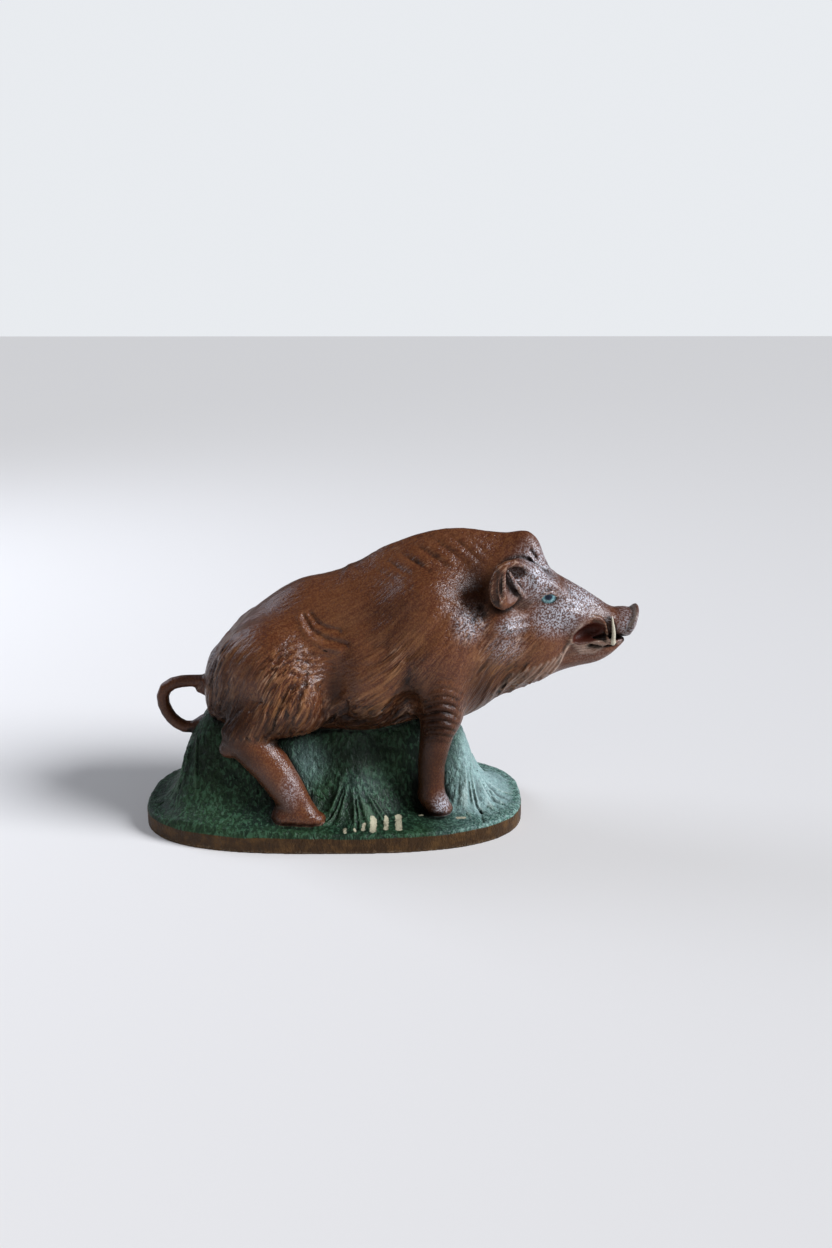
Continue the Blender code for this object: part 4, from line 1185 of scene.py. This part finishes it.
# Paint has chipped off blade tips, down to the plaster: each chip's two ends on the ground, and width
CHIPS = (
    ((8.7, -54.8), (9.0, -59.6), 0.9), ((14.6, -56.0), (14.9, -58.0), 0.7),
    ((20.2, -51.5), (19.8, -56.8), 0.9), ((26.1, -47.8), (25.8, -57.4), 1.9),
    ((33.7, -43.2), (33.6, -54.6), 1.3), ((41.1, -39.6), (41.4, -54.8), 1.9),
    ((55.8, -37.1), (54.6, -37.3), 0.7), ((77.6, -40.2), (81.8, -40.0), 1.1),
    ((67.6, -32.4), (68.2, -33.2), 0.6),
)
flat_place = add(tree, "ShaderNodeVectorMath", {0: where, 1: (1.0, 1.0, 0.0)}, operation="MULTIPLY")[0]
ragged = {0: pattern["grit"], 1: 0.0022, 2: -0.0011}
ragged = add(tree, "ShaderNodeMath", ragged, operation="MULTIPLY_ADD")[0]
chip = 1.0
for (ax, ay), (bx, by), half in CHIPS:
    span = Vector(((bx - ax) * STEP, (by - ay) * STEP, 0.0))
    end = {0: flat_place, 1: (ax * STEP, ay * STEP, 0.0)}
    from_end = add(tree, "ShaderNodeVectorMath", end, operation="SUBTRACT")[0]
    along = {0: from_end, 1: span / span.length_squared}
    along = add(tree, "ShaderNodeVectorMath", along, operation="DOT_PRODUCT")["Value"]
    share = add(tree, "ShaderNodeClamp", {"Value": along})[0]
    back = add(tree, "ShaderNodeVectorMath", {0: span, "Scale": share}, operation="SCALE")[0]
    aside = add(tree, "ShaderNodeVectorMath", {0: from_end, 1: back}, operation="DISTANCE")["Value"]
    here = add(tree, "ShaderNodeMath", {0: aside, 1: half * STEP}, operation="SUBTRACT")[0]
    chip = add(tree, "ShaderNodeMath", {0: chip, 1: here}, operation="MINIMUM")[0]
chip = add(tree, "ShaderNodeMath", {0: chip, 1: ragged}, operation="ADD")[0]
chip = add(tree, "ShaderNodeMapRange", {"Value": chip, "From Min": 0.0003, "From Max": -0.0002})[0]
low_down = add(tree, "ShaderNodeMapRange", {"Value": spot["Z"], "From Min": 0.032, "From Max": 0.030})[0]
for part in (low_down, mask["ground"]):
    chip = add(tree, "ShaderNodeMath", {0: chip, 1: part}, operation="MULTIPLY")[0]

# The eye is painted on its ball, seen from the side: a teal iris with a dark pupil and lid line
EYE_MIDDLE = (0.1317, 0.0, 0.1484)
from_eye = add(tree, "ShaderNodeVectorMath", {0: where, 1: EYE_MIDDLE}, operation="SUBTRACT")[0]
flat = add(tree, "ShaderNodeVectorMath", {0: from_eye, 1: (240.0, 0.0, 300.0)}, operation="MULTIPLY")[0]
from_iris = add(tree, "ShaderNodeVectorMath", {0: flat}, operation="LENGTH")["Value"]
raised = add(tree, "ShaderNodeVectorMath", {0: flat, 1: (0.0, 0.0, 0.2)}, operation="SUBTRACT")[0]
from_pupil = add(tree, "ShaderNodeVectorMath", {0: raised}, operation="LENGTH")["Value"]
iris = add(tree, "ShaderNodeMapRange", {"Value": from_iris, "From Min": 1.15, "From Max": 0.7})[0]
pupil = add(tree, "ShaderNodeMapRange", {"Value": from_pupil, "From Min": 0.72, "From Max": 0.45})[0]
LAST_LAYERS = (
    (colour["ground"], 1.0, mask["ground"]),
    (linear("#b5ae93"), 0.95, chip),
    (linear("#3c1812"), 0.85, mask["mouth"]),
    (linear("#cfc8b2"), 0.9, mask["tusk"]),
    (linear("#1a1512"), 1.0, mask["eye"]),
    (linear("#5f8f98"), 0.95, mask["eye"], iris),
    (linear("#a9cdd0"), 0.7, mask["eye"], iris, mask["spark"]),
    (linear("#101c2c"), 1.0, mask["eye"], pupil),
)
skin_colour = colour["coat"]
for over, cover, *within in LAST_LAYERS:
    for part in within:
        cover = add(tree, "ShaderNodeMath", {0: cover, 1: part}, operation="MULTIPLY")[0]
    skin_colour = add(tree, "ShaderNodeMix", {0: cover, 6: skin_colour, 7: over}, data_type="RGBA")[2]

# %% Painted plaster: sheen and tooth
# The varnish is satin where it lies thick, and thin and dull in the hollows and on the grass
sheen = {"Value": pattern["mottle"], "From Min": 0.3, "From Max": 0.7, "To Min": 0.30, "To Max": 0.48}
sheen = add(tree, "ShaderNodeMapRange", sheen)[0]
rougher = {0: mask["ground"], 1: 0.16, 2: sheen}
rougher = add(tree, "ShaderNodeMath", rougher, operation="MULTIPLY_ADD")[0]
dull = add(tree, "ShaderNodeMath", {0: mask["ground"], 1: 0.75}, operation="MULTIPLY")[0]
rough_hair = add(tree, "ShaderNodeMath", {0: measure["shag"], 1: 0.45}, operation="MULTIPLY")[0]
for part in (rough_hair, mask["hollow"], mask["mouth"], measure["painted_shade"]):
    dull = add(tree, "ShaderNodeMath", {0: dull, 1: part}, operation="MAXIMUM")[0]
gloss = add(tree, "ShaderNodeMapRange", {"Value": dull, "To Min": 0.5, "To Max": 0.06})[0]
relief = add(tree, "ShaderNodeMath", {0: pattern["stroke"], 1: measure["shag"]}, operation="MULTIPLY")[0]
relief = add(tree, "ShaderNodeMath", {0: relief, 1: 1.6}, operation="MULTIPLY")[0]
relief = {0: pattern["hair"], 1: 0.3, 2: relief}
relief = add(tree, "ShaderNodeMath", relief, operation="MULTIPLY_ADD")[0]
leaves = add(tree, "ShaderNodeMath", {0: pattern["leaf"], 1: mask["ground"]}, operation="MULTIPLY")[0]
relief = add(tree, "ShaderNodeMath", {0: relief, 1: leaves}, operation="ADD")[0]
combing = add(tree, "ShaderNodeBump", {"Height": relief, "Strength": 1.0, "Distance": 0.0011})[0]
tooth = {"Height": pattern["grain"], "Strength": 0.55, "Distance": 0.0005, "Normal": combing}
normal = add(tree, "ShaderNodeBump", tooth)[0]
glaze = {"Height": pattern["grit"], "Strength": 0.6, "Distance": 0.0005, "Normal": combing}
glaze_normal = add(tree, "ShaderNodeBump", glaze)[0]
varnished = {
    "Base Color": skin_colour, "Roughness": rougher, "Normal": normal, "Specular IOR Level": 0.12,
    "Coat Weight": gloss, "Coat Roughness": 0.2, "Coat Normal": glaze_normal,
}
skin = add(tree, "ShaderNodeBsdfPrincipled", varnished)[0]
add(tree, "ShaderNodeOutputMaterial", {"Surface": skin})
cast_data.materials.clear()
cast_data.materials.append(paint)
print(len(tree.nodes), "nodes in the paint")

# %% [markdown]
# The tooth of the plaster
#
# Set plaster is never smooth under a magnifier: bubbles and the mould's own grain leave a fine tooth.
# A node tree lays it over the whole cast with a grain, a depth and a seed, and leaves the underside
# flat. It could be bump in the paint alone, but then the outline and the mesh wouldn't have it.

# %% Tooth by a node tree
# Metres, but for the seed. Real tooth is finer: this is as coarse as it needs to show in the mesh
TOOTH = {"Grain": 0.0024, "Depth": 0.00022, "Seed": 7.0}
UNDERSIDE = 0.0006

stipple = bpy.data.node_groups.new("plaster tooth", "GeometryNodeTree")
stipple.interface.new_socket("Geometry", in_out="INPUT", socket_type="NodeSocketGeometry")
stipple.interface.new_socket("Geometry", in_out="OUTPUT", socket_type="NodeSocketGeometry")
for name in TOOTH:
    stipple.interface.new_socket(name, in_out="INPUT", socket_type="NodeSocketFloat")
stipple.interface.new_socket("Paint", in_out="INPUT", socket_type="NodeSocketMaterial")
given = add(stipple, "NodeGroupInput")
fine = add(stipple, "ShaderNodeMath", {0: 1.0, 1: given["Grain"]}, operation="DIVIDE")[0]
grain = {"Scale": fine, "W": given["Seed"], "Detail": 1.0}
grain = add(stipple, "ShaderNodeTexNoise", grain, noise_dimensions="4D")["Fac"]
sunk = add(stipple, "ShaderNodeMath", {0: grain, 1: 0.75}, operation="SUBTRACT")[0]
deep = add(stipple, "ShaderNodeMath", {0: sunk, 1: given["Depth"]}, operation="MULTIPLY")[0]
facing = add(stipple, "GeometryNodeInputNormal")[0]
push = add(stipple, "ShaderNodeVectorMath", {0: facing, "Scale": deep}, operation="SCALE")[0]
height = add(stipple, "ShaderNodeSeparateXYZ", {0: add(stipple, "GeometryNodeInputPosition")[0]})["Z"]
raised = add(stipple, "FunctionNodeCompare", {0: height, 1: UNDERSIDE}, operation="GREATER_THAN")[0]
moved = {"Geometry": given["Geometry"], "Selection": raised, "Offset": push}
moved = add(stipple, "GeometryNodeSetPosition", moved)[0]
real = add(stipple, "GeometryNodeRealizeInstances", {0: moved})[0]
painted = add(stipple, "GeometryNodeSetMaterial", {"Geometry": real, "Material": given["Paint"]})[0]
add(stipple, "NodeGroupOutput", {"Geometry": painted})

layer = cast.modifiers.new("tooth", "NODES")
layer.node_group = stipple
for item in stipple.interface.items_tree:
    if item.in_out == "INPUT" and item.name in TOOTH:
        layer[item.identifier] = TOOTH[item.name]
    if item.in_out == "INPUT" and item.name == "Paint":
        layer[item.identifier] = paint
graph = bpy.context.evaluated_depsgraph_get()
toothed = bpy.data.meshes.new_from_object(cast.evaluated_get(graph))
cast.modifiers.remove(layer)
cast.data = toothed
bpy.data.meshes.remove(cast_data)
toothed.name = "boar_cast"
# The tooth and the fine hair stay inside the box of the solid model, to the last tenth of a millimetre
kept_in = np.empty(len(toothed.vertices) * 3, np.float32)
toothed.vertices.foreach_get("co", kept_in)
kept_in = np.clip(kept_in.reshape(-1, 3), CAD_BOX[0], CAD_BOX[1])
toothed.vertices.foreach_set("co", kept_in.ravel())
toothed.update()
print("toothed cast:", len(toothed.vertices), "points,", len(toothed.materials), "paint")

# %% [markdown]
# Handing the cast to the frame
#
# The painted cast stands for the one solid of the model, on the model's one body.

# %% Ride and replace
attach(cast, "root")
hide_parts("boar_on_plinth")

# %% [markdown]
# Floor, light and camera
#
# The photo's light is a large cool window high on the right, with a soft room behind the camera. The
# camera was worked out from the plinth's ellipse: slightly above the back, turned half a degree.

# %% Floor
# Matt paper gives the eye a soft shadow and no shine
floor_material = bpy.data.materials.new("pale_paper")
floor_material.use_nodes = True
floor_skin = floor_material.node_tree.nodes["Principled BSDF"]
floor_skin.inputs["Base Color"].default_value = linear("#e9e7e3")
floor_skin.inputs["Roughness"].default_value = 0.9
FLOOR_HALF = 6.0
FLOOR_DROP = -0.0002
corners = [(-FLOOR_HALF, -FLOOR_HALF, FLOOR_DROP), (FLOOR_HALF, -FLOOR_HALF, FLOOR_DROP)]
corners += [(FLOOR_HALF, FLOOR_HALF, FLOOR_DROP), (-FLOOR_HALF, FLOOR_HALF, FLOOR_DROP)]
floor_mesh = bpy.data.meshes.new("floor")
floor_mesh.from_pydata(corners, [], [(0, 1, 2, 3)])
floor_mesh.materials.append(floor_material)
floor = bpy.data.objects.new("floor", floor_mesh)
bpy.context.scene.collection.objects.link(floor)

# %% Lights and world
KEY_FROM = (0.84, -0.28, 0.56)
sun = bpy.data.lights.new("window", "SUN")
sun.energy = 4.6
sun.angle = math.radians(24)
sun.color = linear("#f3f6ff")[:3]
window = bpy.data.objects.new("window", sun)
window.rotation_euler = Vector(KEY_FROM).to_track_quat("Z", "Y").to_euler()
bpy.context.scene.collection.objects.link(window)

# Each lamp: name, place, size, watts and colour, and all look at the middle of the boar
LAMPS = (
    ("room", (-0.5, -1.3, 0.8), 1.2, 2.0, "#fff4e8"),
    ("back", (-1.0, 0.5, 0.8), 0.7, 7.0, "#e6edff"),
)
for name, place, size, watts, tint in LAMPS:
    lamp = bpy.data.lights.new(name, "AREA")
    lamp.size = size
    lamp.energy = watts
    lamp.color = linear(tint)[:3]
    stand = bpy.data.objects.new(name, lamp)
    stand.location = place
    aim = Vector((0.03, 0, 0.09)) - Vector(place)
    stand.rotation_euler = aim.to_track_quat("-Z", "Y").to_euler()
    bpy.context.scene.collection.objects.link(stand)
world = bpy.data.worlds.new("pale room")
world.use_nodes = True
sky = world.node_tree.nodes["Background"]
sky.inputs["Color"].default_value = linear("#eef1f5")
seen = add(world.node_tree, "ShaderNodeLightPath")["Is Camera Ray"]
strength = add(world.node_tree, "ShaderNodeMapRange", {"Value": seen, "To Min": 0.11, "To Max": 0.95})[0]
world.node_tree.links.new(strength, sky.inputs["Strength"])
bpy.context.scene.world = world
bpy.context.scene.view_settings.view_transform = "Standard"

# %% Camera
camera_data = bpy.data.cameras.new("camera")
camera_data.lens = 33.416
camera_data.sensor_width = 36.0
camera_data.clip_start = 0.01
camera = bpy.data.objects.new("camera", camera_data)
camera.location = (0.0467, -0.6915, 0.3347)
camera.rotation_euler = (math.pi / 2 - 0.2934411, 0, -0.0080928)
bpy.context.scene.collection.objects.link(camera)
bpy.context.scene.camera = camera
